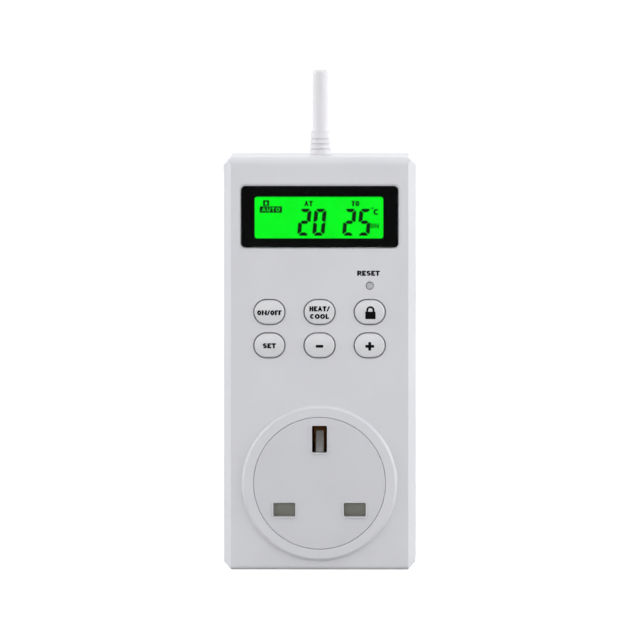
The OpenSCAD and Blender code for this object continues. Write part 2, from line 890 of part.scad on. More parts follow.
// Sliding shutter: the ramp behind the earth slot drives the plate over the other slots
module outlet_shutter() {
  color("darkgrey") {
    difference() {
      translate([-shutter_half_w, y_shutter, shutter_low])
        cube([2 * shutter_half_w, shutter_t, shutter_high - shutter_low]);
      for (side = [-1, 1]) translate([side * pin_pitch / 4, 0, shutter_low])
        block(0, 0, foot_w / 2, slot_h / 2, y_shutter - cut, y_shutter_back + cut);
    }
    translate([-shutter_web_w / 2, y_shutter, shutter_low])
      cube([shutter_web_w, shutter_t, ramp_low - shutter_low]);
    translate([-foot_w / 2, y_shutter, shutter_low]) cube([foot_w, foot_depth + shutter_t, foot_t]);
    side_slab(-ramp_w / 2, ramp_w / 2) polygon([
      [y_shutter, ramp_low - shutter_cover], [y_shutter, ramp_low + web_drop],
      [y_shutter + ramp_rise, ramp_low + web_drop + ramp_rise],
      [y_shutter + ramp_rise + ramp_tip, ramp_low + web_drop + ramp_rise],
      [y_shutter + ramp_rise + ramp_tip, ramp_low + ramp_rise / 2],
      [y_shutter_back, ramp_low - shutter_cover]
    ]);
  }
}

function spring_point(turn_share) = [
  spring_r * cos(360 * spring_turns * turn_share),
  spring_r * sin(360 * spring_turns * turn_share),
  spring_wire_r + (spring_len - 2 * spring_wire_r) * turn_share
];

// One unbroken wire swept along the spring's helix
module coil() {
  rings = spring_turns * spring_steps;
  sides = wire_sides;
  points = [
    for (i = [0:rings]) let (p = spring_point(i / rings), a = 360 * spring_turns * i / rings)
      for (k = [0:sides - 1]) let (b = 360 * k / sides)
        p + spring_wire_r * [cos(b) * cos(a), cos(b) * sin(a), sin(b)]
  ];
  walls = [
    for (i = [0:rings - 1], k = [0:sides - 1]) let (n = (k + 1) % sides)
      each [
        [i * sides + k, i * sides + n, (i + 1) * sides + n],
        [i * sides + k, (i + 1) * sides + n, (i + 1) * sides + k]
      ]
  ];
  start = [for (k = [1:sides - 2]) [0, k + 1, k]];
  last = rings * sides;
  end = [for (k = [1:sides - 2]) [last, last + k, last + k + 1]];
  polyhedron(points = points, faces = concat(walls, start, end));
}

module shutter_spring() {
  color("silver") translate([0, spring_y, shutter_low - spring_len - spring_seat]) coil();
}

module tower(x, z, w, h) {
  block(x, z, w + 2 * tower_wall, h + 2 * tower_wall, y_carrier, -tower_end);
}

module tower_room(x, z, w, h) {
  block(x, z, w, h, y_carrier - cut, -tower_end + cut);
}

// Moulding that carries the three contacts and guides the shutter
module contact_carrier() {
  spring_floor = shutter_low - spring_len - 2 * spring_seat;
  pocket_d = y_shutter_back + foot_depth + slide_gap - y_carrier;
  pocket_h = shutter_low + foot_t + slide_gap - spring_floor;
  case_w = spring_pocket_w + 2 * tower_wall;
  rail_h = shutter_high - shutter_low + shutter_travel;
  rail_z = shutter_high - rail_h / 2;
  color("ivory") difference() {
    union() {
      translate([0, 0, outlet_z]) slab(y_carrier, y_carrier + carrier_t) {
        rounded(carrier_w, carrier_h, carrier_r);
        translate([0, ear_up]) pill(2 * ear_x + 2 * ear_r, 2 * ear_r);
      }
      for (side = [-1, 1])
        block(side * (shutter_half_w + slide_gap + rail_w / 2), rail_z, rail_w, rail_h,
          y_insert_back + fit, y_carrier + carrier_t);
      for (side = [-1, 1]) tower(side * pin_pitch / 2, live_z, live_room_w, live_room_h);
      tower(0, earth_z, earth_room_w, earth_room_h);
      translate([-case_w / 2, y_carrier, spring_floor - spring_ledge_t])
        cube([case_w, pocket_d + tower_wall, pocket_h + spring_ledge_t + tower_wall]);
    }
    for (side = [-1, 1]) tower_room(side * pin_pitch / 2, live_z, live_room_w, live_room_h);
    tower_room(0, earth_z, earth_room_w, earth_room_h);
    translate([-spring_pocket_w / 2, y_carrier - cut, spring_floor])
      cube([spring_pocket_w, pocket_d + cut, pocket_h]);
    translate([-ramp_w / 2 - slide_gap, y_carrier - cut, ramp_low - shutter_travel - 2 * shutter_cover])
      cube([ramp_w + 2 * slide_gap, ramp_rise + ramp_tip + 2 * cut, shutter_travel + 3 * shutter_cover]);
    at_ears() y_rod(0, 0, carrier_screw_d / 2 + fit, y_carrier - cut, y_carrier + carrier_t + cut);
  }
}

// Side view of one leaf: flared mouth, waist that grips the pin, bow back to the base
module leaf_outline() {
  waist = clip_len * clip_waist_share;
  inner = clip_gap / 2;
  polygon([
    [0, inner + clip_flare], [clip_mouth, inner], [waist, inner],
    [clip_len, inner + clip_bow], [clip_len, inner + clip_bow + strip_t],
    [waist, inner + strip_t], [clip_mouth, inner + strip_t], [0, inner + clip_flare + strip_t]
  ]);
}

// Spring clip whose two leaves grip a pin, its mouth towards the front
module clip(width) {
  translate([-width / 2, -clip_len, 0]) rotate([90, 0, 90]) linear_extrude(width) {
    leaf_outline();
    mirror([0, 1]) leaf_outline();
    translate([clip_len - strip_t, -clip_gap / 2 - clip_bow - strip_t])
      square([strip_t, clip_gap + 2 * clip_bow + 2 * strip_t]);
  }
}

module line_contact() {
  color("goldenrod") translate([pin_pitch / 2, y_clip_back, live_z]) clip(live_clip_w);
}

module neutral_contact() {
  color("goldenrod") translate([-pin_pitch / 2, y_clip_back, live_z]) clip(live_clip_w);
}

module earth_contact() {
  color("goldenrod") translate([0, y_clip_back, earth_z]) rotate([0, 90, 0]) clip(earth_clip_w);
}

// Plan of a pin from its collar to its chamfered tip
module pin_body(x, z, w, h, length, sleeved) {
  neck = sleeved ? pin_neck : 0;
  block(x, z, w - 2 * neck, h - 2 * neck, y_rear_in, sleeve_len + fit);
  block(x, z, w + 2 * collar_out, h + 2 * collar_out, y_collar, y_rear_in);
  intersection() {
    block(x, z, w, h, sleeve_len, length);
    translate([x, 0, 0]) linear_extrude(2 * body_h, center = true) pin_plan(w, length);
    translate([0, 0, z]) rotate([90, 0, 90]) linear_extrude(2 * body_w, center = true) pin_side(h, length);
  }
}

// Pin outline seen from above, with its tip drawn in
module pin_plan(w, length) {
  polygon([
    [-w / 2, 0], [w / 2, 0], [w / 2, length - pin_tip], [w / 2 - pin_tip, length],
    [-w / 2 + pin_tip, length], [-w / 2, length - pin_tip]
  ]);
}

// Pin outline seen from the side, with its tip drawn in
module pin_side(h, length) {
  polygon([
    [0, -h / 2], [0, h / 2], [length - pin_tip, h / 2], [length, h / 2 - pin_tip],
    [length, -h / 2 + pin_tip], [length - pin_tip, -h / 2]
  ]);
}

module live_pin(side) {
  pin_body(side * pin_pitch / 2, 0, pin_w, pin_t, pin_len, true);
  block(side * pin_pitch / 2, 0, tail_w, tail_t, y_collar - tail_len, y_collar);
}

module line_pin() { color("gold") live_pin(1); }
module neutral_pin() { color("gold") live_pin(-1); }
module earth_pin() { color("gold") pin_body(0, earth_pin_z, pin_t, earth_pin_h, earth_pin_len, false); }

module pin_sleeves() {
  color("dimgrey") for (side = [-1, 1]) difference() {
    block(side * pin_pitch / 2, 0, pin_w, pin_t, y_rear_in + run, sleeve_len - run);
    block(side * pin_pitch / 2, 0, pin_w - 2 * pin_neck + run, pin_t - 2 * pin_neck + run,
      y_rear_in - cut, sleeve_len + cut);
  }
}

// Flat bar that runs down behind the boards and turns forward to a contact
module bar(x, z_top, z_foot) {
  side_slab(x - bar_w / 2, x + bar_w / 2) polygon([
    [y_bar, z_top], [y_bar + bar_t, z_top], [y_bar + bar_t, z_foot - bar_t / 2],
    [y_clip_back, z_foot - bar_t / 2], [y_clip_back, z_foot + bar_t / 2], [y_bar, z_foot + bar_t / 2]
  ]);
}

module line_bar() {
  color("goldenrod") {
    bar(pin_pitch / 2, line_bar_top + bar_t, live_z);
    block(pin_pitch / 2, line_bar_top + bar_t / 2, tail_w, bar_t, y_power - bar_t, y_bar + bar_t);
  }
}

module neutral_bar() {
  color("goldenrod") difference() {
    bar(-pin_pitch / 2, bar_over, live_z);
    block(-pin_pitch / 2, 0, tail_w + 2 * run, tail_t + 2 * run, y_bar - cut, y_collar + cut);
  }
}

module earth_bar() {
  color("goldenrod") bar(0, earth_pin_z + bar_over, earth_z);
}

module power_board() {
  color("darkkhaki") difference() {
    translate([-board_w / 2, y_power, power_low]) cube([board_w, board_t, power_top - power_low]);
    at_posts() y_rod(0, 0, board_screw_d / 2 + fit, y_power - cut, y_power_back + cut);
    for (side = [-1, 1])
      block(side * pin_pitch / 2, 0, tail_w + 2 * fit, tail_t + 2 * fit, y_power - cut, y_power_back + cut);
    block(pin_pitch / 2, line_bar_top + bar_t / 2, tail_w + 2 * fit, bar_t + 2 * fit,
      y_power - cut, y_power_back + cut);
  }
}

module relay() {
  color("black") {
    translate([relay_x, 0, relay_z]) slab(y_power - relay_h, y_power)
      rounded(relay_w - relay_lip, relay_l - relay_lip, relay_lip);
    block(relay_x, relay_z, relay_w, relay_l, y_power - 2 * relay_lip, y_power);
  }
}

module film_capacitor() {
  color("gold") translate([film_x, 0, film_z])
    slab(y_power - film_h, y_power) rounded(film_w, film_l, film_r);
}

module smoothing_capacitor() {
  color("navy") difference() {
    union() {
      y_rod(can_x, can_z, can_r - can_sleeve, y_power - can_h, y_power);
      y_rod(can_x, can_z, can_r, y_power - can_h + can_groove, y_power - 2 * can_groove);
    }
    for (turn = [0, 90]) translate([can_x, 0, can_z]) rotate([0, turn, 0])
      block(0, 0, can_r, can_groove, y_power - can_h - cut, y_power - can_h + can_groove / 2);
  }
}

// Disc that stands on edge on two legs
module varistor() {
  color("royalblue") {
    translate([disc_x, y_power - disc_leg - disc_r, disc_z]) cylinder(h = disc_t, r = disc_r, center = true);
    for (side = [-1, 1])
      y_rod(disc_x + side * disc_r / 2, disc_z, wire_r, y_power - disc_leg - disc_r, y_power);
  }
}

// Round part that lies on the board, along Z, its two leads bent down to the board
module lying_part(x, z, r, length) {
  translate([x, y_power - r, z - length / 2]) cylinder(h = length, r = r);
  for (side = [-1, 1]) {
    block(x, z + side * (length / 2 + r / 2), 2 * wire_r, r + 2 * wire_r,
      y_power - r - wire_r, y_power - r + wire_r);
    block(x, z + side * (length / 2 + r), 2 * wire_r, 2 * wire_r, y_power - r - wire_r, y_power);
  }
}

module rectifier_diodes() {
  color("black") for (i = [0:diode_count - 1])
    lying_part(diode_x + i * diode_pitch, diode_z, diode_r, diode_len);
}

module fuse_resistor() {
  color("lightblue") lying_part(fuse_x, fuse_z, fuse_r, fuse_len);
}

// Row of pins that joins the two boards
module board_link() {
  color("black") translate([link_x, 0, link_z]) {
    for (i = [0:link_pins - 1])
      block((i - (link_pins - 1) / 2) * link_spacing, 0, link_pin_w, link_pin_w, y_board_back, y_power);
    for (near = [y_board_back, y_power - link_block])
      block(0, 0, link_pins * link_spacing, link_block, near, near + link_block);
  }
}

// Connector that takes the probe's two leads
module probe_header() {
  color("white") difference() {
    translate([-header_w / 2, y_probe - header_front, header_z - header_h])
      cube([header_w, y_power - y_probe + header_front, header_h]);
    for (side = [-1, 1]) translate([side * lead_x, y_probe, header_z - header_h / 2])
      cylinder(h = header_h, r = lead_r + run);
  }
}

module microcontroller() {
  color("black") translate([chip_x, 0, chip_z]) {
    block(0, 0, chip_w, chip_w, y_board_back + fit, y_board_back + chip_t);
    for (turn = [0, 90, 180, 270], i = [0:chip_legs - 1]) rotate([0, turn, 0])
      block((i - (chip_legs - 1) / 2) * chip_leg_pitch, (chip_w + chip_leg_out) / 2, chip_leg_w,
        chip_leg_out, y_board_back, y_board_back + chip_leg_t);
  }
}

module backup_battery() {
  color("silver") {
    y_rod(cell_x, cell_z, cell_r, y_board_back + cell_rim, y_board_back + cell_t);
    y_rod(cell_x, cell_z, cell_r - 2 * cell_rim, y_board_back, y_board_back + cell_t);
  }
}

module probe_tube() {
  tip_z = z_high + boot_h + probe_len;
  low_z = in_high - probe_below;
  color("whitesmoke") translate([0, y_probe, 0]) difference() {
    rotate_extrude() {
      translate([0, low_z]) square([probe_d / 2, tip_z - probe_round - low_z]);
      translate([0, low_z]) square([probe_d / 2 - probe_round, tip_z - low_z]);
      translate([probe_d / 2 - probe_round, tip_z - probe_round]) circle(probe_round);
    }
    translate([0, 0, low_z - cut]) cylinder(h = tip_z - probe_d / 2 - low_z + cut, r = probe_bore_r);
    translate([0, 0, tip_z - probe_d / 2]) sphere(probe_bore_r);
  }
}

// Ribbed boot with a neck through the top wall and a flange behind it
module probe_boot() {
  slope = (boot_foot_d - boot_top_d) / 2 / boot_h;
  bore_r = probe_d / 2 + run;
  color("whitesmoke") translate([0, y_probe, 0]) rotate_extrude() difference() {
    polygon([
      [bore_r, in_high - boot_flange_t - fit], [boot_flange_r, in_high - boot_flange_t - fit],
      [boot_flange_r, in_high - fit], [boot_neck_r, in_high - fit], [boot_neck_r, z_high],
      [boot_foot_d / 2, z_high], [boot_top_d / 2, z_high + boot_h], [bore_r, z_high + boot_h]
    ]);
    for (i = [0:boot_rings - 1]) let (z = boot_ring_foot + i * boot_ring_pitch)
      translate([boot_foot_d / 2 - slope * z - boot_groove, z_high + z - boot_groove_w / 2])
        square([2 * boot_groove, boot_groove_w]);
  }
}

module thermistor() {
  bead_z = z_high + boot_h + probe_len - probe_d / 2 - bead_back;
  color("orange") {
    translate([0, y_probe, bead_z]) sphere(bead_r);
    for (side = [-1, 1]) translate([side * lead_x, y_probe, header_z - header_h / 2 + fit])
      cylinder(h = bead_z - header_z + header_h / 2 - fit, r = lead_r);
  }
}

module case_screws() {
  color("silver") at_case_screws()
    screw(-screw_seat, screw_d / 2, screw_len, screw_head_d / 2, screw_head_h);
}

module board_screws() {
  color("silver") {
    at_board_screws()
      screw(y_board_back, board_screw_d / 2, board_screw_len, board_screw_head_d / 2, board_screw_head_h);
    at_posts() mirror([0, 1, 0])
      screw(-y_power, board_screw_d / 2, board_screw_len - board_t, board_screw_head_d / 2,
        board_screw_head_h);
  }
}

module carrier_screws() {
  color("silver") at_ears()
    screw(y_carrier + carrier_t, carrier_screw_d / 2, carrier_screw_len - carrier_t,
      board_screw_head_d / 2, board_screw_head_h);
}

front_shell();
rear_cover();
display_lens();
display_mask();
lcd_glass();
light_guide();
zebra_strips();
control_board();
key_on_off();
key_heat_cool();
key_lock();
key_set();
key_minus();
key_plus();
reset_button();
switch_bodies();
plunger_on_off();
plunger_heat_cool();
plunger_lock();
plunger_set();
plunger_minus();
plunger_plus();
plunger_reset();
outlet_insert();
outlet_shutter();
shutter_spring();
contact_carrier();
line_contact();
neutral_contact();
earth_contact();
line_pin();
neutral_pin();
earth_pin();
pin_sleeves();
line_bar();
neutral_bar();
earth_bar();
power_board();
relay();
film_capacitor();
smoothing_capacitor();
varistor();
rectifier_diodes();
fuse_resistor();
board_link();
probe_header();
microcontroller();
backup_battery();
probe_tube();
probe_boot();
thermistor();
case_screws();
board_screws();
carrier_screws();
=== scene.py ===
"""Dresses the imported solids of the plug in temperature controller.

Every size in the classes below is a real size in millimetres, and MM turns it
into Blender's metres. The front faces -Y and +Z is up, as in the solids.
"""

import logging
import math
from collections.abc import Sequence
from dataclasses import dataclass
from enum import Enum
from functools import cache

import bpy
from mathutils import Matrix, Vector


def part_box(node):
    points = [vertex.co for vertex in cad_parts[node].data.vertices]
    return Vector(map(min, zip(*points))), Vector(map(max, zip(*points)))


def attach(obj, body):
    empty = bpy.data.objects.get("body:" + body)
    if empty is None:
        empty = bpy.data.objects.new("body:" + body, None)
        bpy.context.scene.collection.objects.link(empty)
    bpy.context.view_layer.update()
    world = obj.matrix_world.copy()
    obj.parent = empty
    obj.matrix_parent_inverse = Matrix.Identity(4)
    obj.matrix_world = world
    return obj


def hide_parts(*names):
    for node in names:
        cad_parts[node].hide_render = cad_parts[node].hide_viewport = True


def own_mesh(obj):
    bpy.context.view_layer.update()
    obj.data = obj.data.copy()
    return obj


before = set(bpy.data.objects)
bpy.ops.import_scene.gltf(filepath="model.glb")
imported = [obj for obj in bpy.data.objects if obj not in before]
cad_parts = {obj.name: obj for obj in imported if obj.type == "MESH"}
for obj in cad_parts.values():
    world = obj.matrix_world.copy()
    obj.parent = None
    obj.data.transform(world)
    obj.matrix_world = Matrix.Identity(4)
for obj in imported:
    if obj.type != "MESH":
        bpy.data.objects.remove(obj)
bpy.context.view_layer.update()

MM = 0.001
EDGE_SAMPLES = 6
LOG = logging.getLogger("controller")

Point = tuple[float, float]
Place = tuple[float, float, float]
Outline = list[Point]
Ring = Sequence[Sequence[float]]
Faces = list[tuple[int, ...]]
Shape = tuple[Outline, Faces]
Skin = tuple[Ring, Faces]
Legend = list[tuple[str, Shape]]
Tree = bpy.types.NodeTree
Socket = bpy.types.NodeSocket
Settings = dict[str, object]
Links = dict[str | int, Socket]


class Body(Enum):
    """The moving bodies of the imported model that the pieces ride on."""

    CASE = "case"
    ON_OFF = "key_on_off"
    HEAT_COOL = "key_heat_cool"
    LOCK = "key_lock"
    SET = "key_set"
    MINUS = "key_minus"
    PLUS = "key_plus"
    SHUTTER = "shutter"


# Shader help


def linear(hex_colour: str) -> tuple[float, float, float, float]:
    """Turns an sRGB hex colour into linear values for a shader.

    Args:
        hex_colour: The colour as six hex digits, such as "d8d8dc".

    Returns:
        Red, green, blue and an alpha of one.
    """
    shares = [int(hex_colour[i:i + 2], 16) / 255 for i in (0, 2, 4)]
    red, green, blue = (s / 12.92 if s <= 0.04045 else ((s + 0.055) / 1.055) ** 2.4 for s in shares)
    return red, green, blue, 1.0


def set_stops(ramp: bpy.types.ColorRamp, stops: Sequence[tuple[float, str]]) -> None:
    """Gives a new colour ramp its stops.

    Args:
        ramp: The ramp, which has two stops when it is new.
        stops: Each stop's place and its hex colour.
    """
    for place, _ in stops[1:-1]:
        ramp.elements.new(place)
    for element, (place, colour) in zip(ramp.elements, stops):
        element.position = place
        element.color = linear(colour)


def add_node(
    tree: Tree, kind: str, settings: Settings | None = None, links: Links | None = None
) -> bpy.types.Node:
    """Adds one node with its settings and links.

    Args:
        tree: The node tree that gets the node.
        kind: Blender's name for the type of node.
        settings: Values by the name of the input, or else of the property, and a colour ramp's stops.
        links: For each input that is linked, by name or number, the output that feeds it.

    Returns:
        The new node.
    """
    node = tree.nodes.new(kind)
    for name, value in (settings or {}).items():
        if name == "stops":
            set_stops(node.color_ramp, value)
        elif name in node.inputs:
            node.inputs[name].default_value = value
        else:
            setattr(node, name, value)
    for name, output in (links or {}).items():
        tree.links.new(output, node.inputs[name])
    return node


def blank_material(name: str) -> tuple[bpy.types.Material, Tree]:
    """Makes a material with an empty node tree.

    Args:
        name: The material's name.

    Returns:
        The material and its node tree.
    """
    material = bpy.data.materials.new(name)
    material.use_nodes = True
    material.node_tree.nodes.clear()
    return material, material.node_tree


def close_material(tree: Tree, settings: Settings, links: Links) -> None:
    """Ends a material in a Principled shader with these constant values and links."""
    shader = add_node(tree, "ShaderNodeBsdfPrincipled", settings, links)
    add_node(tree, "ShaderNodeOutputMaterial", links={"Surface": shader.outputs["BSDF"]})


def object_noise(tree: Tree, feature_mm: float, detail: float = 2.0) -> Socket:
    """Adds a noise whose blotches have a real size.

    Args:
        tree: The node tree.
        feature_mm: The size of one blotch.
        detail: How many finer layers it has.

    Returns:
        The noise's value.
    """
    place = add_node(tree, "ShaderNodeTexCoord")
    settings = {"Scale": 1 / (feature_mm * MM), "Detail": detail}
    noise = add_node(tree, "ShaderNodeTexNoise", settings, {"Vector": place.outputs["Object"]})
    return noise.outputs["Fac"]


def mottle(
    tree: Tree, feature_mm: float, shades: tuple[str, str], detail: float = 2.0, spread: Point = (0.35, 0.65)
) -> Socket:
    """Adds a noise that runs from one hex colour to another, each reached at its place in the spread."""
    noise = object_noise(tree, feature_mm, detail)
    ramp = add_node(tree, "ShaderNodeValToRGB", {"stops": list(zip(spread, shades))}, {"Fac": noise})
    return ramp.outputs["Color"]


def gloss(tree: Tree, feature_mm: float, low: float, high: float) -> Socket:
    """Adds a roughness that wanders between two values over blotches of a real size."""
    links = {"Value": object_noise(tree, feature_mm, detail=3.0)}
    return add_node(tree, "ShaderNodeMapRange", {"To Min": low, "To Max": high}, links).outputs["Result"]


def relief(tree: Tree, height: Socket, depth_mm: float, edge_mm: float, strength: float = 1.0) -> Socket:
    """Adds the fine relief of a surface and the small round of its edges.

    Args:
        tree: The node tree.
        height: The pattern that is raised.
        depth_mm: How deep the pattern is.
        edge_mm: The radius of the broken edges.
        strength: How much of the pattern's depth the eye sees.

    Returns:
        The normal for the shader.
    """
    edge = add_node(tree, "ShaderNodeBevel", {"Radius": edge_mm * MM, "samples": EDGE_SAMPLES})
    settings = {"Strength": strength, "Distance": depth_mm * MM}
    bump = add_node(tree, "ShaderNodeBump", settings, {"Height": height, "Normal": edge.outputs["Normal"]})
    return bump.outputs["Normal"]


# Finishes


@dataclass(frozen=True)
class MouldedPlastic:
    """A plastic moulded in a spark eroded tool: a satin surface with a fine grain."""

    name: str
    colour: str
    shade: str
    roughness: float = 0.42
    ior: float = 1.54
    grain_mm: float = 0.35
    grain_depth_mm: float = 0.006
    edge_mm: float = 0.25
    mottle_mm: float = 14.0
    subsurface: float = 0.0
    glow_mm: Place = (1.2, 1.0, 0.9)

    def material(self) -> bpy.types.Material:
        """Builds the plastic, whose slow mottle is the flow of the melt.

        Returns:
            The material.
        """
        made, tree = blank_material(self.name)
        base = mottle(tree, self.mottle_mm, (self.shade, self.colour))
        # The real grain is about 0.05 mm, and is drawn coarser so that it shows.
        grain = object_noise(tree, self.grain_mm, detail=1.0)
        normal = relief(tree, grain, self.grain_depth_mm, self.edge_mm)
        settings = {
            "Roughness": self.roughness, "IOR": self.ior, "Subsurface Weight": self.subsurface,
            "Subsurface Radius": [reach * MM for reach in self.glow_mm], "Subsurface Scale": 1.0,
        }
        close_material(tree, settings, {"Base Color": base, "Normal": normal})
        return made


@dataclass(frozen=True)
class ClearAcrylic:
    """Cast acrylic, polished: a clear sheet with sharp, weak reflections."""

    name: str
    colour: str = "fbfdfc"
    roughness: float = 0.02
    ior: float = 1.49
    wipe_mm: float = 6.0

    def material(self) -> bpy.types.Material:
        """Builds the clear sheet, whose wiping marks are a faint change of gloss.

        Returns:
            The material.
        """
        made, tree = blank_material(self.name)
        wipes = gloss(tree, self.wipe_mm, self.roughness, 2 * self.roughness)
        settings = {"Base Color": linear(self.colour), "IOR": self.ior, "Transmission Weight": 1.0}
        close_material(tree, settings, {"Roughness": wipes})
        return made


@dataclass(frozen=True)
class ScreenInk:
    """Screen printed ink: a thin even film with a trace of the mesh in it."""

    name: str
    colour: str
    roughness: float
    ior: float
    thread_mm: float = 0.3
    film_mm: float = 0.004
    edge_mm: float = 0.02

    def material(self) -> bpy.types.Material:
        """Builds the ink film.

        Returns:
            The material.
        """
        made, tree = blank_material(self.name)
        normal = relief(tree, object_noise(tree, self.thread_mm), self.film_mm, self.edge_mm)
        settings = {"Base Color": linear(self.colour), "Roughness": self.roughness, "IOR": self.ior}
        close_material(tree, settings, {"Normal": normal})
        return made


@dataclass(frozen=True)
class BacklitCrystal:
    """Display glass lit from behind by green diodes: an even glow with faint clouds in it."""

    name: str
    colour: str
    dim: str
    strength: float
    unlit: str = "021005"
    roughness: float = 0.08
    ior: float = 1.52
    cloud_mm: float = 9.0
    cloud_spread: Point = (0.2, 0.6)

    def material(self) -> bpy.types.Material:
        """Builds the glowing glass, whose clouds are those of the light guide.

        Returns:
            The material.
        """
        made, tree = blank_material(self.name)
        glow = mottle(tree, self.cloud_mm, (self.dim, self.colour), spread=self.cloud_spread)
        settings = {
            "Base Color": linear(self.unlit), "Roughness": self.roughness, "IOR": self.ior,
            "Emission Strength": self.strength,
        }
        close_material(tree, settings, {"Emission Color": glow})
        return made


@dataclass(frozen=True)
class BareMetal:
    """A bare or plated metal, with the fine lines of its stamping or turning."""

    name: str
    colour: str
    shade: str
    roughness: float
    tarnish_mm: float = 3.0
    gloss_mm: float = 1.2
    gloss_shares: Point = (0.8, 1.3)
    line_mm: float = 0.12
    line_depth_mm: float = 0.003
    edge_mm: float = 0.15

    def material(self) -> bpy.types.Material:
        """Builds the metal: its tarnish is slow and its draw lines are fine.

        Returns:
            The material.
        """
        made, tree = blank_material(self.name)
        base = mottle(tree, self.tarnish_mm, (self.shade, self.colour), detail=4.0)
        rough = gloss(tree, self.gloss_mm, *(share * self.roughness for share in self.gloss_shares))
        normal = relief(tree, object_noise(tree, self.line_mm), self.line_depth_mm, self.edge_mm)
        links = {"Base Color": base, "Roughness": rough, "Normal": normal}
        close_material(tree, {"Metallic": 1.0}, links)
        return made


@dataclass(frozen=True)
class CircuitLaminate:
    """Laminate, bare or under solder mask: the copper tracks show as lighter bands."""

    name: str
    colour: str
    track: str
    track_mm: float = 2.0
    track_shares: Place = (3.0, 1.0, 0.08)
    track_depth_mm: float = 0.03
    edge_mm: float = 0.05
    roughness: float = 0.35
    ior: float = 1.5

    def material(self) -> bpy.types.Material:
        """Builds the board, with its tracks as the joints in a pattern of bricks.

        Returns:
            The material.
        """
        made, tree = blank_material(self.name)
        place = add_node(tree, "ShaderNodeTexCoord")
        upright = {"Rotation": (math.radians(90), 0.0, 0.0)}
        turned = add_node(tree, "ShaderNodeMapping", upright, {"Vector": place.outputs["Object"]})
        length, height, joint = self.track_shares
        bricks = {
            "Scale": 1 / (self.track_mm * MM), "Brick Width": length, "Row Height": height,
            "Mortar Size": joint, "Mortar": linear(self.track),
            "Color1": linear(self.colour), "Color2": linear(self.colour),
        }
        tracks = add_node(tree, "ShaderNodeTexBrick", bricks, {"Vector": turned.outputs["Vector"]})
        normal = relief(tree, tracks.outputs["Fac"], self.track_depth_mm, self.edge_mm, strength=0.5)
        links = {"Base Color": tracks.outputs["Color"], "Normal": normal}
        close_material(tree, {"Roughness": self.roughness, "IOR": self.ior}, links)
        return made


Finish = MouldedPlastic | ClearAcrylic | ScreenInk | BacklitCrystal | BareMetal | CircuitLaminate
Finishes = tuple[tuple[Finish, tuple[str, ...]], ...]

# Housing: impact modified ABS, moulded in a finely eroded tool, so it is satin and evenly pale.
HOUSING_ABS = MouldedPlastic("abs_white_eroded", "dddde0", "dadade")
# Socket insert: polycarbonate, a shade greyer and a little glossier than the ABS.
INSERT_PC = MouldedPlastic("polycarbonate_white_moulded", "d6d6da", "d3d3d7", roughness=0.36, ior=1.58)
# Keys: ABS from a polished tool, smoother than the housing, so that the crowns take soft lights.
KEY_ABS = MouldedPlastic(
    "abs_white_polished", "dfdfe1", "dcdcde", roughness=0.3, grain_depth_mm=0.003, edge_mm=0.45
)
# Reset button: the same ABS, painted a greyer shade that stands in for the shade deep in its hole, and matt.
RESET_PAINTED_SHADE_ABS = MouldedPlastic("abs_white_painted_shade", "c3c3c6", "bfbfc2", roughness=0.5, edge_mm=0.12)
# Shutter: unfilled polyamide, matt and warm grey in the shade of the slots.
SHUTTER_PA = MouldedPlastic("polyamide_grey_moulded", "aaa99e", "a2a196", roughness=0.5, ior=1.53)
# Ramp of the shutter, where earth pins slide on it: a paler copy of the same polyamide, painted light for
# the light that the sloped ramp catches.
RAMP_PAINTED_LIGHT_PA = MouldedPlastic(
    "polyamide_grey_painted_light", "eeeeec", "e2e2e0", roughness=0.3, ior=1.53, mottle_mm=0.9
)
# Carrier: natural polyamide, cream and waxy.
CARRIER_PA = MouldedPlastic("polyamide_natural_moulded", "e2dcc8", "d9d2bc", roughness=0.45, ior=1.53)
# Probe tube and boot: soft PVC, pale, slightly waxy and let through by light at its rim.
PROBE_PVC = MouldedPlastic(
    "pvc_white_extruded", "e6e4e6", "e3e1e3", roughness=0.5, grain_depth_mm=0.004, subsurface=0.1
)
# Sleeves of the pins: black polyamide with a matt skin.
SLEEVE_PA = MouldedPlastic("polyamide_black_moulded", "1b1b1d", "151517", roughness=0.4, ior=1.53)
# Housings of small parts: glass filled PBT, with a dry, slightly fibrous skin.
PART_PBT = MouldedPlastic("pbt_black_filled", "17181a", "101113", roughness=0.55, grain_mm=0.6)
# Connector of the probe: unfilled PBT, creamy white with a dull shine.
WHITE_PBT = MouldedPlastic("pbt_white_moulded", "e8e6de", "dedcd2", roughness=0.4)
# Plungers of the switches: brown polyacetal, smooth and slippery to the eye.
PLUNGER_POM = MouldedPlastic("acetal_brown_moulded", "5a3a26", "4e3220", roughness=0.3, ior=1.48)
# Film capacitor: yellow flame retardant PBT, even and opaque.
CASE_YELLOW = MouldedPlastic("pbt_yellow_moulded", "d9a92c", "cf9f24", roughness=0.4)
# Smoothing capacitor: shrunk PVC sleeve, dark blue and glossy.
SLEEVE_BLUE = MouldedPlastic("pvc_blue_shrunk", "1d2c5e", "182552", roughness=0.25, ior=1.53)
# Varistor and resistor: dipped epoxy, with the soft sheen of a cured coat.
RESIN_BLUE = MouldedPlastic(
    "epoxy_blue_dipped", "3f74b8", "376aac", roughness=0.35, grain_mm=0.8, grain_depth_mm=0.02
)
# Leads of the thermistor: orange PTFE insulation, smooth and a little waxy.
WIRE_ORANGE = MouldedPlastic("ptfe_orange_extruded", "d1691f", "c45f19", roughness=0.35, ior=1.38)
# Light guide: acrylic with white dots, milky at a glance.
GUIDE_ACRYLIC = MouldedPlastic(
    "acrylic_milky_moulded", "e9f2ea", "dfeae0", roughness=0.25, ior=1.49, subsurface=0.3
)
# Contact strips of the display: layered silicone rubber, dull grey.
STRIP_SILICONE = MouldedPlastic(
    "silicone_grey_layered", "55565a", "3b3c40", roughness=0.6, ior=1.41, mottle_mm=0.8
)
# Window: clear acrylic, polished, seen only by its reflections.
WINDOW_ACRYLIC = ClearAcrylic("acrylic_clear_polished")
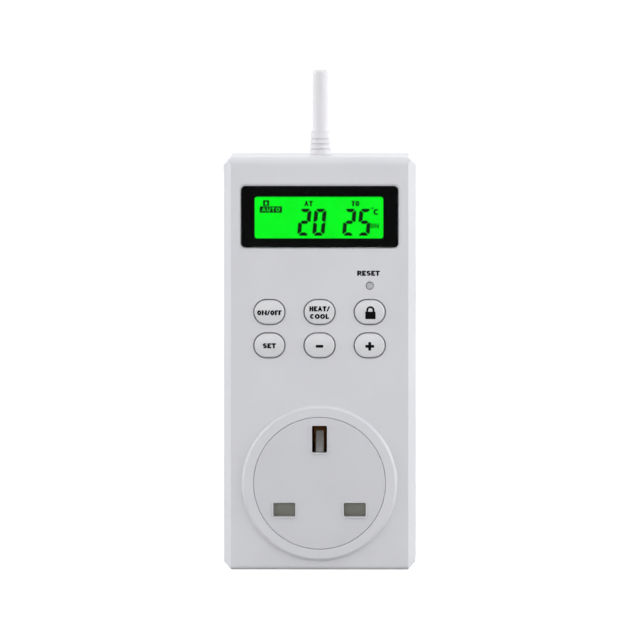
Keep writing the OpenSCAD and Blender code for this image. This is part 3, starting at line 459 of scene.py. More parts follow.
# Border printed on the window's back: black ink bonded to the acrylic, so it has no gloss of its own.
BORDER_INK = ScreenInk("ink_black_screened", "09090a", roughness=0.5, ior=1.01)
# Legends: black pad printed ink, matt and thin, so it takes little light.
LEGEND_INK = ScreenInk("ink_legend_black", "030304", roughness=0.7, ior=1.2)
# Display: nematic crystal lit from behind, in a saturated green.
LIT_GREEN = BacklitCrystal("crystal_green_backlit", "00fb1e", "00f01c", strength=1.06)
# Segments that are switched on: the crystal blocks most of the light.
DARK_SEGMENT = BacklitCrystal("crystal_green_blocked", "07270d", "05200a", strength=0.9)
# Contacts and bars: phosphor bronze strip, stamped, reddish where it is shaded.
STRIP_BRONZE = BareMetal("bronze_strip_stamped", "c98a55", "b57645", roughness=0.35)
# Pins: brass, drawn and tumbled, bright yellow with soft lights.
PIN_BRASS = BareMetal("brass_drawn_tumbled", "d8bf86", "cdb277", roughness=0.28)
# Screws and spring: zinc plated steel, bluish grey with soft lights.
ZINC_STEEL = BareMetal("steel_zinc_plated", "c3c6c9", "aeb2b6", roughness=0.32)
# Control board: glass fibre laminate under a green mask, paler over its tracks.
BOARD_GREEN = CircuitLaminate("laminate_green_masked", "12512c", "1f7a44")
# Power board: bare phenolic laminate, tan and dull.
BOARD_TAN = CircuitLaminate("laminate_phenolic_bare", "9c7b46", "b58f55", track_mm=3.0, roughness=0.5)


@cache
def material_of(finish: Finish) -> bpy.types.Material:
    """Builds a finish's material once."""
    return finish.material()


# Mesh help


def add_object(name: str, data: bpy.types.ID) -> bpy.types.Object:
    """Puts a mesh, light or camera into the scene.

    Args:
        name: The object's name.
        data: What the object shows.

    Returns:
        The new object.
    """
    made = bpy.data.objects.new(name, data)
    bpy.context.scene.collection.objects.link(made)
    return made


def add_piece(
    name: str, points: Ring, faces: Faces, finish: Finish, body: Body, slot: str, smooth_deg: float = 35.0
) -> bpy.types.Object:
    """Makes one piece from points in millimetres and lets it ride on its body.

    Args:
        name: The piece's name.
        points: Its corners, in millimetres.
        faces: Its faces, as numbers of corners.
        finish: What it is made of.
        body: The body that carries it.
        slot: The record's material slot; not used.
        smooth_deg: Edges that turn less than this are shaded smooth.

    Returns:
        The new object.
    """
    mesh = bpy.data.meshes.new(name)
    mesh.from_pydata([tuple(c * MM for c in point) for point in points], [], faces)
    mesh.validate()
    mesh.materials.append(material_of(finish))
    mesh.shade_smooth()
    mesh.set_sharp_from_angle(angle=math.radians(smooth_deg))
    piece = add_object(name, mesh)
    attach(piece, body.value)
    LOG.info("built %s: %d faces, %s", name, len(mesh.polygons), finish.name)
    return piece


def box_mm(node: str) -> tuple[Vector, Vector, Vector]:
    """The lowest corner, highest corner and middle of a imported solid, in millimetres."""
    low, high = (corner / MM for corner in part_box(node))
    return low, high, (low + high) / 2


def shifted(outline: Sequence[Point], x: float, z: float) -> Outline:
    """An outline moved sideways and up."""
    return [(px + x, pz + z) for px, pz in outline]


def lay(outline: Outline, middle: Vector, depth: float) -> list[Place]:
    """An outline laid about a middle, at one depth."""
    return [(middle.x + x, depth, middle.z + z) for x, z in outline]


def arc(middle: Point, reach: Point, start_deg: float, end_deg: float, count: int = 16) -> Outline:
    """Points along a part of an ellipse, given by its middle and its half width and half height."""
    turns = [math.radians(start_deg + (end_deg - start_deg) * i / count) for i in range(count + 1)]
    return [(middle[0] + reach[0] * math.cos(t), middle[1] + reach[1] * math.sin(t)) for t in turns]


def pill_outline(width: float, height: float, count: int = 96) -> Outline:
    """Points round a pill, by equal angles on its two half circles.

    Args:
        width: The pill's width.
        height: The pill's height.
        count: How many points it has.

    Returns:
        The points, anticlockwise as seen from the front.
    """
    radius, reach = height / 2, (width - height) / 2
    turns = [2 * math.pi * (i + 0.5) / count for i in range(count)]
    return [(radius * math.cos(t) + math.copysign(reach, math.cos(t)), radius * math.sin(t)) for t in turns]


def rounded_outline(width: float, height: float, radius: float, steps: int = 8) -> Outline:
    """Points round a rectangle with round corners.

    Args:
        width: The rectangle's width.
        height: The rectangle's height.
        radius: The radius of its corners.
        steps: How many steps each corner has.

    Returns:
        The points, anticlockwise as seen from the front.
    """
    points: Outline = []
    for quarter, (side, rise) in enumerate([(1, 1), (-1, 1), (-1, -1), (1, -1)]):
        middle = (side * (width / 2 - radius), rise * (height / 2 - radius))
        points += arc(middle, (radius, radius), 90 * quarter, 90 * (quarter + 1), steps)
    return points


def strip(start: int, count: int) -> Faces:
    """The faces between two rows of points, the second right after the first."""
    return [(i, i + 1, i + 1 + count, i + count) for i in range(start, start + count - 1)]


def band(start: int, count: int) -> Faces:
    """The faces between two rings of points, the second right after the first."""
    ends = [(start + i, start + (i + 1) % count) for i in range(count)]
    return [(a, b, b + count, a + count) for a, b in ends]


def loft(rings: Sequence[Ring], capped: bool) -> Skin:
    """Joins rings of points into one skin.

    Args:
        rings: Rings of the same number of points.
        capped: Whether a face closes the first ring and the last.

    Returns:
        The points and the faces.
    """
    count, last = len(rings[0]), len(rings) - 1
    faces: Faces = [face for level in range(last) for face in band(level * count, count)]
    if capped:
        faces += [tuple(reversed(range(count))), tuple(range(last * count, (last + 1) * count))]
    return [point for ring in rings for point in ring], faces


def plates(outlines: list[Outline], middle: Vector, y_front: float, y_back: float) -> Skin:
    """Thin plates with the given outlines, facing the front.

    Args:
        outlines: The plates' outlines.
        middle: The middle that they are laid about.
        y_front: The depth of their fronts.
        y_back: The depth of their backs.

    Returns:
        The points and the faces of all plates.
    """
    points: list[Place] = []
    faces: Faces = []
    for outline in outlines:
        start, count = len(points), len(outline)
        points += lay(outline, middle, y_back) + lay(outline, middle, y_front)
        back, front = range(start, start + count), range(start + count, start + 2 * count)
        faces += band(start, count) + [tuple(reversed(back)), tuple(front)]
    return points, faces


def patch(outline: Outline, steps: int = 4) -> Shape:
    """Fills an outline with rings of faces, so that it can follow a curved face.

    Args:
        outline: The points, about a middle that sees them all.
        steps: How many rings it has.

    Returns:
        The corners and the faces.
    """
    count = len(outline)
    x, z = (sum(point[i] for point in outline) / count for i in (0, 1))
    corners: Outline = []
    faces: Faces = []
    for ring in range(steps):
        share = 1 - ring / steps
        corners += [(x + (px - x) * share, z + (pz - z) * share) for px, pz in outline]
        if ring:
            faces += band((ring - 1) * count, count)
    heart, inner = len(corners), len(corners) - count
    faces += [(inner + i, inner + (i + 1) % count, heart) for i in range(count)]
    return corners + [(x, z)], faces


# Words


LEFT, RIGHT = [(0, 0), (0, 1)], [(1, 0), (1, 1)]
TOP, FOOT = [(0, 1), (1, 1)], [(0, 0), (1, 0)]

# Each sign's width as a share of the usual one, and the middles of its strokes in a box of one by one.
SIGNS: dict[str, tuple[float, list[Outline]]] = {
    "/": (0.75, [[(-0.2, 0), (1.2, 1)]]),
    "A": (1.15, [[(0, 0), (0.5, 1)], [(1, 0), (0.5, 1)], [(0.2, 0.28), (0.8, 0.28)]]),
    "C": (1.05, [arc((0.5, 0.5), (0.5, 0.5), 40, 320)]),
    "E": (0.9, [LEFT, TOP, [(0, 0.5), (0.9, 0.5)], FOOT]),
    "F": (0.9, [LEFT, TOP, [(0, 0.4), (0.85, 0.4)]]),
    "H": (1.05, [LEFT, RIGHT, [(0, 0.5), (1, 0.5)]]),
    "L": (0.85, [LEFT, FOOT]),
    "N": (1.45, [LEFT, [(0, 1), (1, 0)], RIGHT]),
    "O": (1.2, [arc((0.5, 0.5), (0.5, 0.5), 0, 360, 28)]),
    "R": (1.0, [
        LEFT, [(0, 1)] + arc((0.6, 0.74), (0.4, 0.26), 90, -90) + [(0, 0.48)], [(0.5, 0.48), (1, 0)],
    ]),
    "S": (0.95, [arc((0.5, 0.75), (0.5, 0.25), 25, 270) + arc((0.5, 0.25), (0.5, 0.25), 90, -155)[1:]]),
    "T": (0.95, [TOP, [(0.5, 0), (0.5, 1)]]),
    "U": (1.05, [[(0, 0.35), (0, 1)], arc((0.5, 0.35), (0.5, 0.35), 180, 360), [(1, 0.35), (1, 1)]]),
}


@dataclass(frozen=True)
class Pen:
    """Draws capitals whose upright and level strokes have widths of their own.

    A stroke counts as level if its run is more than level_from times its rise, and a slanted one
    is thinner. A curve counts as closed if its ends lie within a small share of a stroke.
    """

    upright: float
    level: float
    gap: float
    level_from: float = 1.6
    slanted_share: float = 0.85
    closed_share: float = 0.01

    def word(self, word: str, width: float, height: float) -> Shape:
        """Draws a word about its middle.

        Args:
            word: The word, in the signs of the table above.
            width: The width that it fills.
            height: The height of its capitals.

        Returns:
            The corners and the faces.
        """
        usual = (width - self.gap * (len(word) - 1)) / sum(SIGNS[sign][0] for sign in word)
        corners: Outline = []
        faces: Faces = []
        left, low, tall = -width / 2, (self.level - height) / 2, height - self.level
        for sign in word:
            share, strokes = SIGNS[sign]
            wide = share * usual - self.upright
            for places in strokes:
                middles = [Vector((left + self.upright / 2 + x * wide, low + z * tall)) for x, z in places]
                faces += strip(len(corners), len(middles))
                corners += self.bar(middles, places) if len(middles) == 2 else self.bend(middles)
            left += share * usual + self.gap
        return corners, faces

    def bar(self, middles: list[Vector], places: Outline) -> Outline:
        """Draws a straight stroke, with its ends cut level or upright.

        Args:
            middles: Its two ends.
            places: The ends in the sign's box. One on its edge reaches half a stroke further.

        Returns:
            The two ends of one side, and of the other.
        """
        first, last = middles
        run = last - first
        axis, other = (0, 1) if abs(run.x) > self.level_from * abs(run.y) else (1, 0)
        half = (self.upright / 2, self.level / 2)
        reach = run * (half[axis] / abs(run[axis]))
        ends = [first - reach * (places[0][axis] in (0, 1)), last + reach * (places[1][axis] in (0, 1))]
        side = Vector((0.0, 0.0))
        side[other] = half[other] * (self.slanted_share if run.x and run.y else 1)
        return [tuple(end - side) for end in ends] + [tuple(end + side) for end in ends]

    def bend(self, middles: list[Vector]) -> Outline:
        """Draws a curved stroke, whose ends meet where the curve is closed.

        Args:
            middles: The points along its middle.

        Returns:
            The points of one side, and of the other.
        """
        last = len(middles) - 1
        closed = (middles[0] - middles[last]).length < self.level * self.closed_share
        near, far = [], []
        for i, point in enumerate(middles):
            before = middles[last - 1] if closed and i == 0 else middles[max(i - 1, 0)]
            after = middles[1] if closed and i == last else middles[min(i + 1, last)]
            along = (after - before).normalized() / 2
            x, z = along.y * self.upright, along.x * self.level
            near.append((point.x + x, point.y - z))
            far.append((point.x - x, point.y + z))
        return near + far


# Legends of the keys: a heavy face, as pad printed legends have.
LEGEND_PEN = Pen(0.55, 0.45, 0.12)
# Words of the display: etched segments, a little lighter.
DISPLAY_PEN = Pen(0.5, 0.38, 0.18)
# The thin words of the display.
FINE_PEN = Pen(0.3, 0.28, 0.24)
# The words cut out of a dark box.
CUT_PEN = Pen(0.26, 0.22, 0.34)


@dataclass(frozen=True)
class Word:
    """A word, with the place of its middle, its width and height, and its pen."""

    text: str
    place: Point
    size: Point
    pen: Pen = LEGEND_PEN

    def shape(self) -> Shape:
        """Draws the word in its place."""
        corners, faces = self.pen.word(self.text, *self.size)
        return shifted(corners, *self.place), faces


# Studio


@dataclass
class Studio:
    """The camera at the photograph's angle, the soft lights and the pale floor.

    Spans are shares of the tent's radius, and lights are brightnesses at the two ends of a span.
    """

    frame_px: int = 640
    px_per_mm: float = 3.176
    distance: float = 6000.0
    sight: float = 20000.0
    azimuth_deg: float = 0.6
    elevation_deg: float = 2.8
    aim: Place = (0.14, -36.0, 12.78)
    sensor: float = 36.0
    floor_size: float = 6000.0
    floor_front: float = 420.0
    floor_gap: float = 0.05
    floor_shades: tuple[str, str] = ("bbbbbb", "bebebe")
    fibre_mm: float = 2.0
    tent_colour: str = "fcfdff"
    tent_shades: tuple[tuple[float, str], ...] = (
        (0.25, "e6e6e6"), (0.5, "ffffff"), (0.75, "a3a3a3"), (1.0, "adadad"),
    )
    opening_span: Point = (-0.98, -0.35)
    opening_lights: Point = (0.04, 2.4)
    back_span: Point = (0.5, 0.98)
    back_lights: Point = (1.0, 0.82)
    paper_light: float = 1.05
    box_target: Place = (0.0, -18.0, 0.0)
    softboxes: tuple[tuple[str, Place, Point, float], ...] = (
        ("softbox_key", (150.0, -330.0, 380.0), (220.0, 220.0), 0.2),
        ("softbox_right", (700.0, -200.0, 200.0), (400.0, 600.0), 1.42),
        ("softbox_left", (-700.0, -200.0, 200.0), (400.0, 600.0), 0.98),
        ("softbox_front", (-80.0, -1400.0, 200.0), (900.0, 240.0), 3.2),
    )

    def build(self) -> None:
        """Sets up the camera, world, lights and floor."""
        self.place_camera()
        self.light_world()
        self.place_softboxes()
        self.lay_floor()
        LOG.info("studio ready")

    def place_camera(self) -> None:
        """Aims a long lens at the front of the housing."""
        lens = bpy.data.cameras.new("camera")
        lens.sensor_width = self.sensor
        lens.lens = self.sensor * self.distance / (self.frame_px / self.px_per_mm)
        lens.clip_end = self.sight * MM
        camera = add_object("camera", lens)
        side, rise = math.radians(self.azimuth_deg), math.radians(self.elevation_deg)
        away = Vector((math.sin(side) * math.cos(rise), -math.cos(side) * math.cos(rise), math.sin(rise)))
        camera.location = (Vector(self.aim) + self.distance * away) * MM
        camera.rotation_euler = (-away).to_track_quat("-Z", "Y").to_euler()
        bpy.context.scene.camera = camera
        bpy.context.scene.view_settings.view_transform = "Standard"

    def light_world(self) -> None:
        """A white tent that is darker where the camera's opening is, so that flat gloss stays dark."""
        world = bpy.data.worlds.new("tent")
        bpy.context.scene.world = world
        world.use_nodes = True
        tree = world.node_tree
        tree.nodes.clear()
        place = add_node(tree, "ShaderNodeTexCoord")
        parts = add_node(tree, "ShaderNodeSeparateXYZ", links={"Vector": place.outputs["Generated"]})
        whole = {"From Min": -1.0, "From Max": 1.0}
        height = add_node(tree, "ShaderNodeMapRange", whole, {"Value": parts.outputs["Z"]})
        shades = {"stops": self.tent_shades}
        shade = add_node(tree, "ShaderNodeValToRGB", shades, {"Fac": height.outputs["Result"]})
        light = shade.outputs["Color"]
        for span, lights in ((self.opening_span, self.opening_lights), (self.back_span, self.back_lights)):
            settings = {
                "From Min": span[0], "From Max": span[1], "To Min": lights[0], "To Max": lights[1],
                "interpolation_type": "SMOOTHSTEP",
            }
            share = add_node(tree, "ShaderNodeMapRange", settings, {"Value": parts.outputs["Y"]})
            links = {0: light, 1: share.outputs["Result"]}
            light = add_node(tree, "ShaderNodeMath", {"operation": "MULTIPLY"}, links).outputs["Value"]
        colour = {"Color": linear(self.tent_colour)}
        tent = add_node(tree, "ShaderNodeBackground", colour, {"Strength": light})
        white = {"Color": linear("ffffff"), "Strength": self.paper_light}
        paper = add_node(tree, "ShaderNodeBackground", white)
        ray = add_node(tree, "ShaderNodeLightPath").outputs["Is Camera Ray"]
        links = {"Fac": ray, 1: tent.outputs["Background"], 2: paper.outputs["Background"]}
        mix = add_node(tree, "ShaderNodeMixShader", links=links)
        add_node(tree, "ShaderNodeOutputWorld", links={"Surface": mix.outputs["Shader"]})

    def place_softboxes(self) -> None:
        """Hangs the softboxes: a small one above, one each side, and a wide one in front."""
        for name, place, (width, height), watts in self.softboxes:
            light = bpy.data.lights.new(name, "AREA")
            light.shape = "RECTANGLE"
            light.size = width * MM
            light.size_y = height * MM
            light.energy = watts
            holder = add_object(name, light)
            holder.location = Vector(place) * MM
            sight = Vector(self.box_target) - Vector(place)
            holder.rotation_euler = sight.to_track_quat("-Z", "Y").to_euler()

    def lay_floor(self) -> None:
        """Lays the pale paper that the controller stands on, which the camera sees as white."""
        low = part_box("front_shell")[0].z - self.floor_gap * MM
        half, near = self.floor_size / 2 * MM, -self.floor_front * MM
        mesh = bpy.data.meshes.new("floor")
        corners = [(-half, near, low), (half, near, low), (half, half, low), (-half, half, low)]
        mesh.from_pydata(corners, [], [(0, 1, 2, 3)])
        floor = add_object("floor", mesh)
        made, tree = blank_material("paper_white_matt")
        pale = mottle(tree, self.fibre_mm, self.floor_shades, detail=3.0, spread=(0.3, 0.7))
        ray = add_node(tree, "ShaderNodeLightPath").outputs["Is Camera Ray"]
        settings = {"Roughness": 0.9, "Emission Color": linear("ffffff")}
        close_material(tree, settings, {"Base Color": pale, "Emission Strength": ray})
        mesh.materials.append(made)


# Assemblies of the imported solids


@dataclass
class Assembly:
    """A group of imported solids, listed by their finish."""

    finishes: Finishes = ()

    def build(self) -> None:
        """Gives each solid of the group its finish."""
        for finish, nodes in self.finishes:
            for node in nodes:
                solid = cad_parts[node]
                solid.data.materials.clear()
                solid.data.materials.append(material_of(finish))
                LOG.info("dressed %s with %s", node, finish.name)


@dataclass
class Housing(Assembly):
    """The two halves of the case and the screws."""

    finishes: Finishes = (
        (HOUSING_ABS, ("front_shell", "rear_cover")),
        (ZINC_STEEL, ("case_screws", "board_screws", "carrier_screws")),
    )


# The display's window and readings


@dataclass(frozen=True)
class SegmentDigit:
    """A slanted digit of seven bars, mitred where bars meet and blunted at the outer corners."""

    width: float = 3.85
    height: float = 8.5
    upright: float = 1.24
    level: float = 1.08
    corner_cut: float = 0.45
    cut_stretch: float = 1.3
    gap: float = 0.15
    slant: float = 0.09

    # The bars of each digit: a to f run clockwise from the top, and g is the middle one.
    SHAPES = {"0": "abcdef", "2": "abged", "5": "afgcd"}

    def bar(self, start: Point, end: Point) -> Outline:
        """Draws one bar, mitred where bars meet at a corner and pointed where three meet.

        Args:
            start: The corner where it starts, with the outside of the digit on the bar's left.
            end: The corner where it ends.

        Returns:
            Its six points.
        """
        first, last = Vector(start), Vector(end)
        along = (last - first).normalized()
        half, other = (self.level / 2, self.upright / 2) if along.x else (self.upright / 2, self.level / 2)
        out, gap, cut = Vector((-along.y, along.x)) * half, self.gap, self.corner_cut
        sides: list[list[Vector]] = []
        for point, inward in ((first, along), (last, -along)):
            tip = point - out + inward * (other + gap)
            if along.x and not point.y:
                side = inward * other
                sides.append([point + out + side, point + inward * gap / 2, point - out + side])
            elif not point.y:
                sides.append([point + out + inward * gap, point + inward * gap, tip])
            else:
                corner = point - inward * (other - gap)
                blunt = corner + out * (1 - cut / half) + inward * cut
                sides.append([corner + out + inward * (self.cut_stretch * cut), blunt, tip])
        return [(c.x + self.slant * c.y, c.y) for c in sides[0] + sides[1][::-1]]

    def bars(self, digit: str) -> list[Outline]:
        """Draws a digit about its middle.

        Args:
            digit: One of the digits above.

        Returns:
            The outline of each bar.
        """
        w, h = (self.width - self.upright) / 2, (self.height - self.level) / 2
        rim = [(-w, h), (w, h), (w, 0), (w, -h), (-w, -h), (-w, 0)]
        ends = dict(zip("abcdef", zip(rim, rim[1:] + rim[:1]))) | {"g": (rim[5], rim[2])}
        return [self.bar(*ends[name]) for name in self.SHAPES[digit]]


@dataclass
class Display(Assembly):
    """The window, its printed border, the lit glass and what the glass shows."""

    finishes: Finishes = (
        (LIT_GREEN, ("lcd_glass",)), (GUIDE_ACRYLIC, ("light_guide",)), (STRIP_SILICONE, ("zebra_strips",)),
    )
    border: float = 4.55
    view_shift: Point = (-0.2, -0.2)
    view_height: float = 13.1
    view_radius: float = 0.8
    corner_radius: float = 1.5
    edge: float = 0.3
    edge_share: float = 0.3
    print_t: float = 0.06
    print_gap: float = 0.02
    ink_lift: float = 0.02
    digits: SegmentDigit = SegmentDigit()
    readings: tuple[tuple[str, float], ...] = (("2", -4.8), ("0", -0.05), ("2", 9.35), ("5", 14.15))
    readings_rise: float = -1.7
    words: tuple[Word, ...] = (
        Word("AT", (-3.5, 4.2), (2.65, 1.65), DISPLAY_PEN),
        Word("TO", (11.3, 4.2), (2.45, 1.65), DISPLAY_PEN),
        Word("C", (17.8, 1.55), (1.7, 1.85), LEGEND_PEN),
        Word("ON", (17.35, -2.85), (2.45, 1.5), FINE_PEN),
    )
    degree: Point = (16.65, 2.7)
    degree_r: float = 0.28
    mode: Word = Word("AUTO", (-15.35, 2.3), (5.7, 1.25), CUT_PEN)
    mode_box: Point = (7.0, 2.0)
    icon: Point = (-16.85, 4.35)
    icon_box: Point = (1.9, 1.8)
    box_radius: float = 0.15
    flame: tuple[Point, ...] = (
        (-0.38, 0.05), (-0.34, -0.4), (0.0, -0.62), (0.34, -0.4), (0.38, 0.05), (0.0, 0.65),
    )

    def build(self) -> None:
        """Dresses the glass, and builds the window and the readings in front of it."""
        super().build()
        self.build_lens()
        self.build_border()
        self.build_readings()

    def build_lens(self) -> None:
        """Builds the window with its broken front edge."""
        low, high, middle = box_mm("display_lens")
        width, height = high.x - low.x, high.z - low.z
        edge, bulge = self.edge, self.edge * self.edge_share
        rings = []
        for inset, depth in ((0.0, high.y), (0.0, low.y + edge), (bulge, low.y + bulge), (edge, low.y)):
            outline = rounded_outline(width - 2 * inset, height - 2 * inset, self.corner_radius - inset)
            rings.append(lay(outline, middle, depth))
        lens = add_piece("window_lens", *loft(rings, True), WINDOW_ACRYLIC, Body.CASE, "lens", smooth_deg=20)
        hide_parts("display_lens")

    def build_border(self) -> None:
        """Prints the black border behind the window."""
        low, high, middle = box_mm("display_mask")
        width, height = high.x - low.x, high.z - low.z
        near, far = low.y + self.print_gap, low.y + self.print_gap + self.print_t
        outer = rounded_outline(width, height, self.corner_radius)
        view = rounded_outline(width - 2 * self.border, self.view_height, self.view_radius)
        inner = shifted(view, *self.view_shift)
        sides = ((outer, far), (outer, near), (inner, near), (inner, far), (outer, far))
        rings = [lay(outline, middle, depth) for outline, depth in sides]
        border = add_piece("window_border", *loft(rings, False), BORDER_INK, Body.CASE, "black_print")
        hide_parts("display_mask")

    def build_readings(self) -> None:
        """Builds the shapes that the glass shows, dark on green or green on a dark box."""
        self.show("readings", [
            shifted(bar, x, self.readings_rise)
            for digit, x in self.readings for bar in self.digits.bars(digit)
        ])
        for word in self.words:
            self.write(f"word_{word.text.lower()}", word)
        self.show("degree_dot", [arc(self.degree, (self.degree_r, self.degree_r), 0, 360)[:-1]])
        boxes = ((self.mode_box, self.mode.place), (self.icon_box, self.icon))
        self.show("mode_boxes", [
            shifted(rounded_outline(*size, self.box_radius, steps=3), *place) for size, place in boxes
        ])
        self.write("word_mode", self.mode, 3, LIT_GREEN)
        self.show("icon_flame", [shifted(self.flame, *self.icon)], 3, LIT_GREEN)

    def show(
        self, name: str, outlines: list[Outline], layer: int = 1, finish: Finish = DARK_SEGMENT
    ) -> None:
        """Lays plates on the glass.

        Args:
            name: The piece's name.
            outlines: The plates' outlines, from the middle of the glass.
            layer: How many films of ink lie between them and the glass.
            finish: Their finish.
        """
        low, _, middle = box_mm("lcd_glass")
        skin = plates(outlines, middle, low.y - (layer + 1) * self.ink_lift, low.y - layer * self.ink_lift)
        add_piece(name, *skin, finish, Body.CASE, "display")

    def write(self, name: str, word: Word, layer: int = 1, finish: Finish = DARK_SEGMENT) -> None:
        """Writes a word on the glass.

        Args:
            name: The piece's name.
            word: The word.
            layer: How many films of ink lie between it and the glass.
            finish: Its finish.
        """
        low, _, middle = box_mm("lcd_glass")
        corners, faces = word.shape()
        points = lay(corners, middle, low.y - layer * self.ink_lift)
        add_piece(name, points, faces, finish, Body.CASE, "display")


# Keys


@dataclass
class Key:
    """A crowned key with a round shoulder, and the legend printed on it."""

    body: Body
    legend: Legend
    width: float = 9.45
    height: float = 7.5
    flange: float = 0.8
    flange_t: float = 1.0
    crown_r: float = 28.0
    crown_insets: tuple[float, ...] = (0.9, 1.6, 2.3, 3.0, 3.65)
    shoulder: float = 0.45
    shoulder_steps: int = 5
    ink_lift: float = 0.025

    @property
    def node(self) -> str:
        """The name of the key's solid, which is its body's."""
        return self.body.value

    def build(self) -> None:
        """Builds the key in the place of its solid, and prints its legend."""
        _, high, middle = box_mm(self.node)
        seat = high.y - self.flange_t
        rims = ((-self.flange, high.y), (-self.flange, seat), (0.0, seat))
        rings = [lay(self.outline(inset), middle, depth) for inset, depth in rims]
        for step in range(self.shoulder_steps + 1):
            turn = math.radians(90 * step / self.shoulder_steps)
            inset, drop = (self.shoulder * (1 - share) for share in (math.cos(turn), math.sin(turn)))
            rings.append(self.on_crown(self.outline(inset), drop))
        rings += [self.on_crown(self.outline(inset), 0.0) for inset in self.crown_insets]
        cap = add_piece(f"{self.node}_cap", *loft(rings, True), KEY_ABS, self.body, "key", smooth_deg=30)
        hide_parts(self.node)
        for name, (corners, faces) in self.legend:
            points = self.on_crown(corners, -self.ink_lift)
            add_piece(f"{self.node}_{name}", points, faces, LEGEND_INK, self.body, "black_print")

    def outline(self, inset: float) -> Outline:
        """The key's outline, drawn in all round."""
        return pill_outline(self.width - 2 * inset, self.height - 2 * inset)

    def on_crown(self, outline: Outline, drop: float) -> list[Place]:
        """Lays points on the crown.

        Args:
            outline: The points, from the key's middle.
            drop: How far they lie below the crown.

        Returns:
            The points in their place.
        """
        low, _, middle = box_mm(self.node)
        falls = [self.crown_r - math.sqrt(self.crown_r ** 2 - x * x - z * z) for x, z in outline]
        return [(middle.x + x, low.y + fall + drop, middle.z + z) for (x, z), fall in zip(outline, falls)]


def word_legend(*words: Word) -> Legend:
    """A legend of words, in their places from the key's middle."""
    return [(f"legend_{number}", word.shape()) for number, word in enumerate(words)]


def bar_legend(*bars: Point, drop: float = 0.25, radius: float = 0.12) -> Legend:
    """A legend of straight bars, each a width and a height, that cross a drop below the key's middle."""
    outlines = [shifted(rounded_outline(*bar, radius, steps=3), 0.0, -drop) for bar in bars]
    return [(f"legend_{number}", patch(outline)) for number, outline in enumerate(outlines)]


@dataclass
class Padlock:
    """The printed padlock of the lock key: a body and the shackle over it."""

    shift: float = 0.22
    body: Point = (3.25, 2.35)
    body_drop: float = 1.0
    body_radius: float = 0.2
    shackle_radii: Point = (1.3, 0.7)
    stem: float = 0.6

    def legend(self) -> Legend:
        """Draws the padlock about the key's middle.

        Returns:
            The shapes of the body and of the shackle.
        """
        body = shifted(rounded_outline(*self.body, self.body_radius, steps=3), self.shift, -self.body_drop)
        sides: Outline = []
        for radius in self.shackle_radii:
            side = [(radius, 0.0)] + arc((0.0, self.stem), (radius, radius), 0, 180) + [(-radius, 0.0)]
            sides += shifted(side, self.shift, 0.0)
        return [("lock_body", patch(body)), ("lock_shackle", (sides, strip(0, len(sides) // 2)))]


@dataclass
class Keypad(Assembly):
    """The six keys, the reset button, its word, and the switches behind them."""

    finishes: Finishes = (
        # The reset button's greyer finish is painted shade for its deep hole.
        (RESET_PAINTED_SHADE_ABS, ("reset_button",)), (PART_PBT, ("switch_bodies",)),
        (PLUNGER_POM, (
            "plunger_on_off", "plunger_heat_cool", "plunger_lock", "plunger_set", "plunger_minus",
            "plunger_plus", "plunger_reset",
        )),
    )
    reset_word: Word = Word("RESET", (-0.4, 3.95), (7.1, 1.6))
    lens_sink: float = 0.2
    ink_lift: float = 0.02

    def build(self) -> None:
        """Dresses what is behind the keys, builds the keys and prints the word."""
        super().build()
        keys = (
            Key(Body.ON_OFF, word_legend(Word("ON/OFF", (0.0, -0.2), (7.7, 1.55)))),
            Key(Body.HEAT_COOL, word_legend(
                Word("HEAT/", (0.0, 1.05), (6.4, 1.6)), Word("COOL", (0.0, -1.35), (6.0, 1.55)),
            )),
            Key(Body.LOCK, Padlock().legend()),
            Key(Body.SET, word_legend(Word("SET", (0.0, -0.1), (4.15, 1.6)))),
            Key(Body.MINUS, bar_legend((2.35, 0.85))),
            Key(Body.PLUS, bar_legend((2.75, 0.9), (0.9, 2.65))),
        )
        for key in keys:
            key.build()
        self.print_reset_word()

    def print_reset_word(self) -> None:
        """Prints the word on the face of the shell, above the reset button."""
        face = box_mm("display_lens")[0].y - self.lens_sink
        corners, faces = self.reset_word.shape()
        points = lay(corners, box_mm("reset_button")[2], face - self.ink_lift)
        add_piece("reset_legend", points, faces, LEGEND_INK, Body.CASE, "black_print")


# Outlet


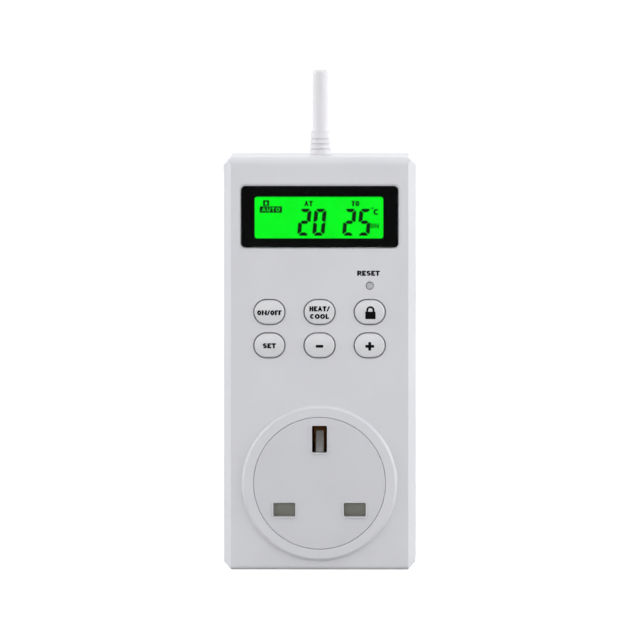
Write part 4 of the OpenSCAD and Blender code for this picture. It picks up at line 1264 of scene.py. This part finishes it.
@dataclass
class Outlet(Assembly):
    """The socket's insert, its shutter and the contacts behind it."""

    finishes: Finishes = (
        (INSERT_PC, ("outlet_insert",)), (SHUTTER_PA, ("outlet_shutter",)),
        (CARRIER_PA, ("contact_carrier",)),
        (STRIP_BRONZE, ("line_contact", "neutral_contact", "earth_contact")),
    )
    ramp_rise: float = 6.6
    # The pale patch of painted light on the ramp: its size, corner radius and lift.
    light_patch_size: Point = (2.4, 8.9)
    light_patch_radius: float = 0.5
    light_patch_lift: float = 0.02
    travel: float = 6.6
    spring_turns: int = 5
    turn_steps: int = 24
    wire_r: float = 0.2
    wire_sides: int = 8

    def build(self) -> None:
        """Dresses the solids of the outlet, paints light on the ramp as a pale patch and winds the spring.
        """
        super().build()
        self.paint_ramp_light()
        self.wind_spring()

    def paint_ramp_light(self) -> None:
        """Lays a pale patch along the sloped face of the ramp: painted light for the light that the ramp
        catches.
        """
        low, high, middle = box_mm("outlet_shutter")
        heart = Vector((middle.x, low.y + self.ramp_rise / 2, high.z - self.ramp_rise / 2))
        right, up, out = (Vector(way).normalized() for way in ((1, 0, 0), (0, 1, 1), (0, -1, 1)))
        # The patch is painted light: a paler copy of the shutter's polyamide.
        corners, faces = patch(rounded_outline(*self.light_patch_size, self.light_patch_radius, steps=4), steps=2)
        points = [heart + x * right + rise * up + self.light_patch_lift * out for x, rise in corners]
        add_piece("ramp_painted_light", points, faces, RAMP_PAINTED_LIGHT_PA, Body.SHUTTER, "shutter")

    def wind_spring(self) -> None:
        """Winds the shutter's spring from one wire."""
        low, high, axis = box_mm("shutter_spring")
        length, radius = high.z - low.z, (high.x - low.x) / 2 - self.wire_r
        wire = arc((0.0, 0.0), (self.wire_r, self.wire_r), 0, 360, self.wire_sides)[:-1]
        up = Vector((0.0, 0.0, 1.0))
        steps = self.turn_steps * self.spring_turns
        rings = []
        for x, y in arc((0.0, 0.0), (1.0, 1.0), 0, 360 * self.spring_turns, steps):
            out = Vector((x, y, 0.0))
            rise = self.wire_r + (length - 2 * self.wire_r) * len(rings) / steps
            heart = Vector((axis.x, axis.y, low.z + rise)) + radius * out
            rings.append([heart + side * out - drop * up for side, drop in wire])
        spring = add_piece("spring_coil", *loft(rings, True), ZINC_STEEL, Body.CASE, "steel")
        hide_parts("shutter_spring")
        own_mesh(spring)


# Plug, probe and electronics


@dataclass
class Plug(Assembly):
    """The pins at the back, their sleeves and the bars inside."""

    finishes: Finishes = (
        (PIN_BRASS, ("line_pin", "neutral_pin", "earth_pin")), (SLEEVE_PA, ("pin_sleeves",)),
        (STRIP_BRONZE, ("line_bar", "neutral_bar", "earth_bar")),
    )


@dataclass
class Probe(Assembly):
    """The sensor probe on top: its tube, boot, thermistor and connector."""

    finishes: Finishes = (
        (PROBE_PVC, ("probe_tube", "probe_boot")), (WIRE_ORANGE, ("thermistor",)),
        (WHITE_PBT, ("probe_header",)),
    )


@dataclass
class Electronics(Assembly):
    """The two boards and the parts on them."""

    finishes: Finishes = (
        (BOARD_GREEN, ("control_board",)), (BOARD_TAN, ("power_board",)),
        (PART_PBT, ("relay", "rectifier_diodes", "board_link", "microcontroller")),
        (CASE_YELLOW, ("film_capacitor",)), (SLEEVE_BLUE, ("smoothing_capacitor",)),
        (RESIN_BLUE, ("varistor", "fuse_resistor")), (ZINC_STEEL, ("backup_battery",)),
    )


def main() -> None:
    """Builds the studio and the sub-assemblies."""
    logging.basicConfig(level=logging.INFO, format="%(name)s: %(message)s")
    for part in (Studio(), Housing(), Display(), Keypad(), Outlet(), Plug(), Probe(), Electronics()):
        LOG.info("building %s", type(part).__name__)
        part.build()


if __name__ == "__main__":
    main()
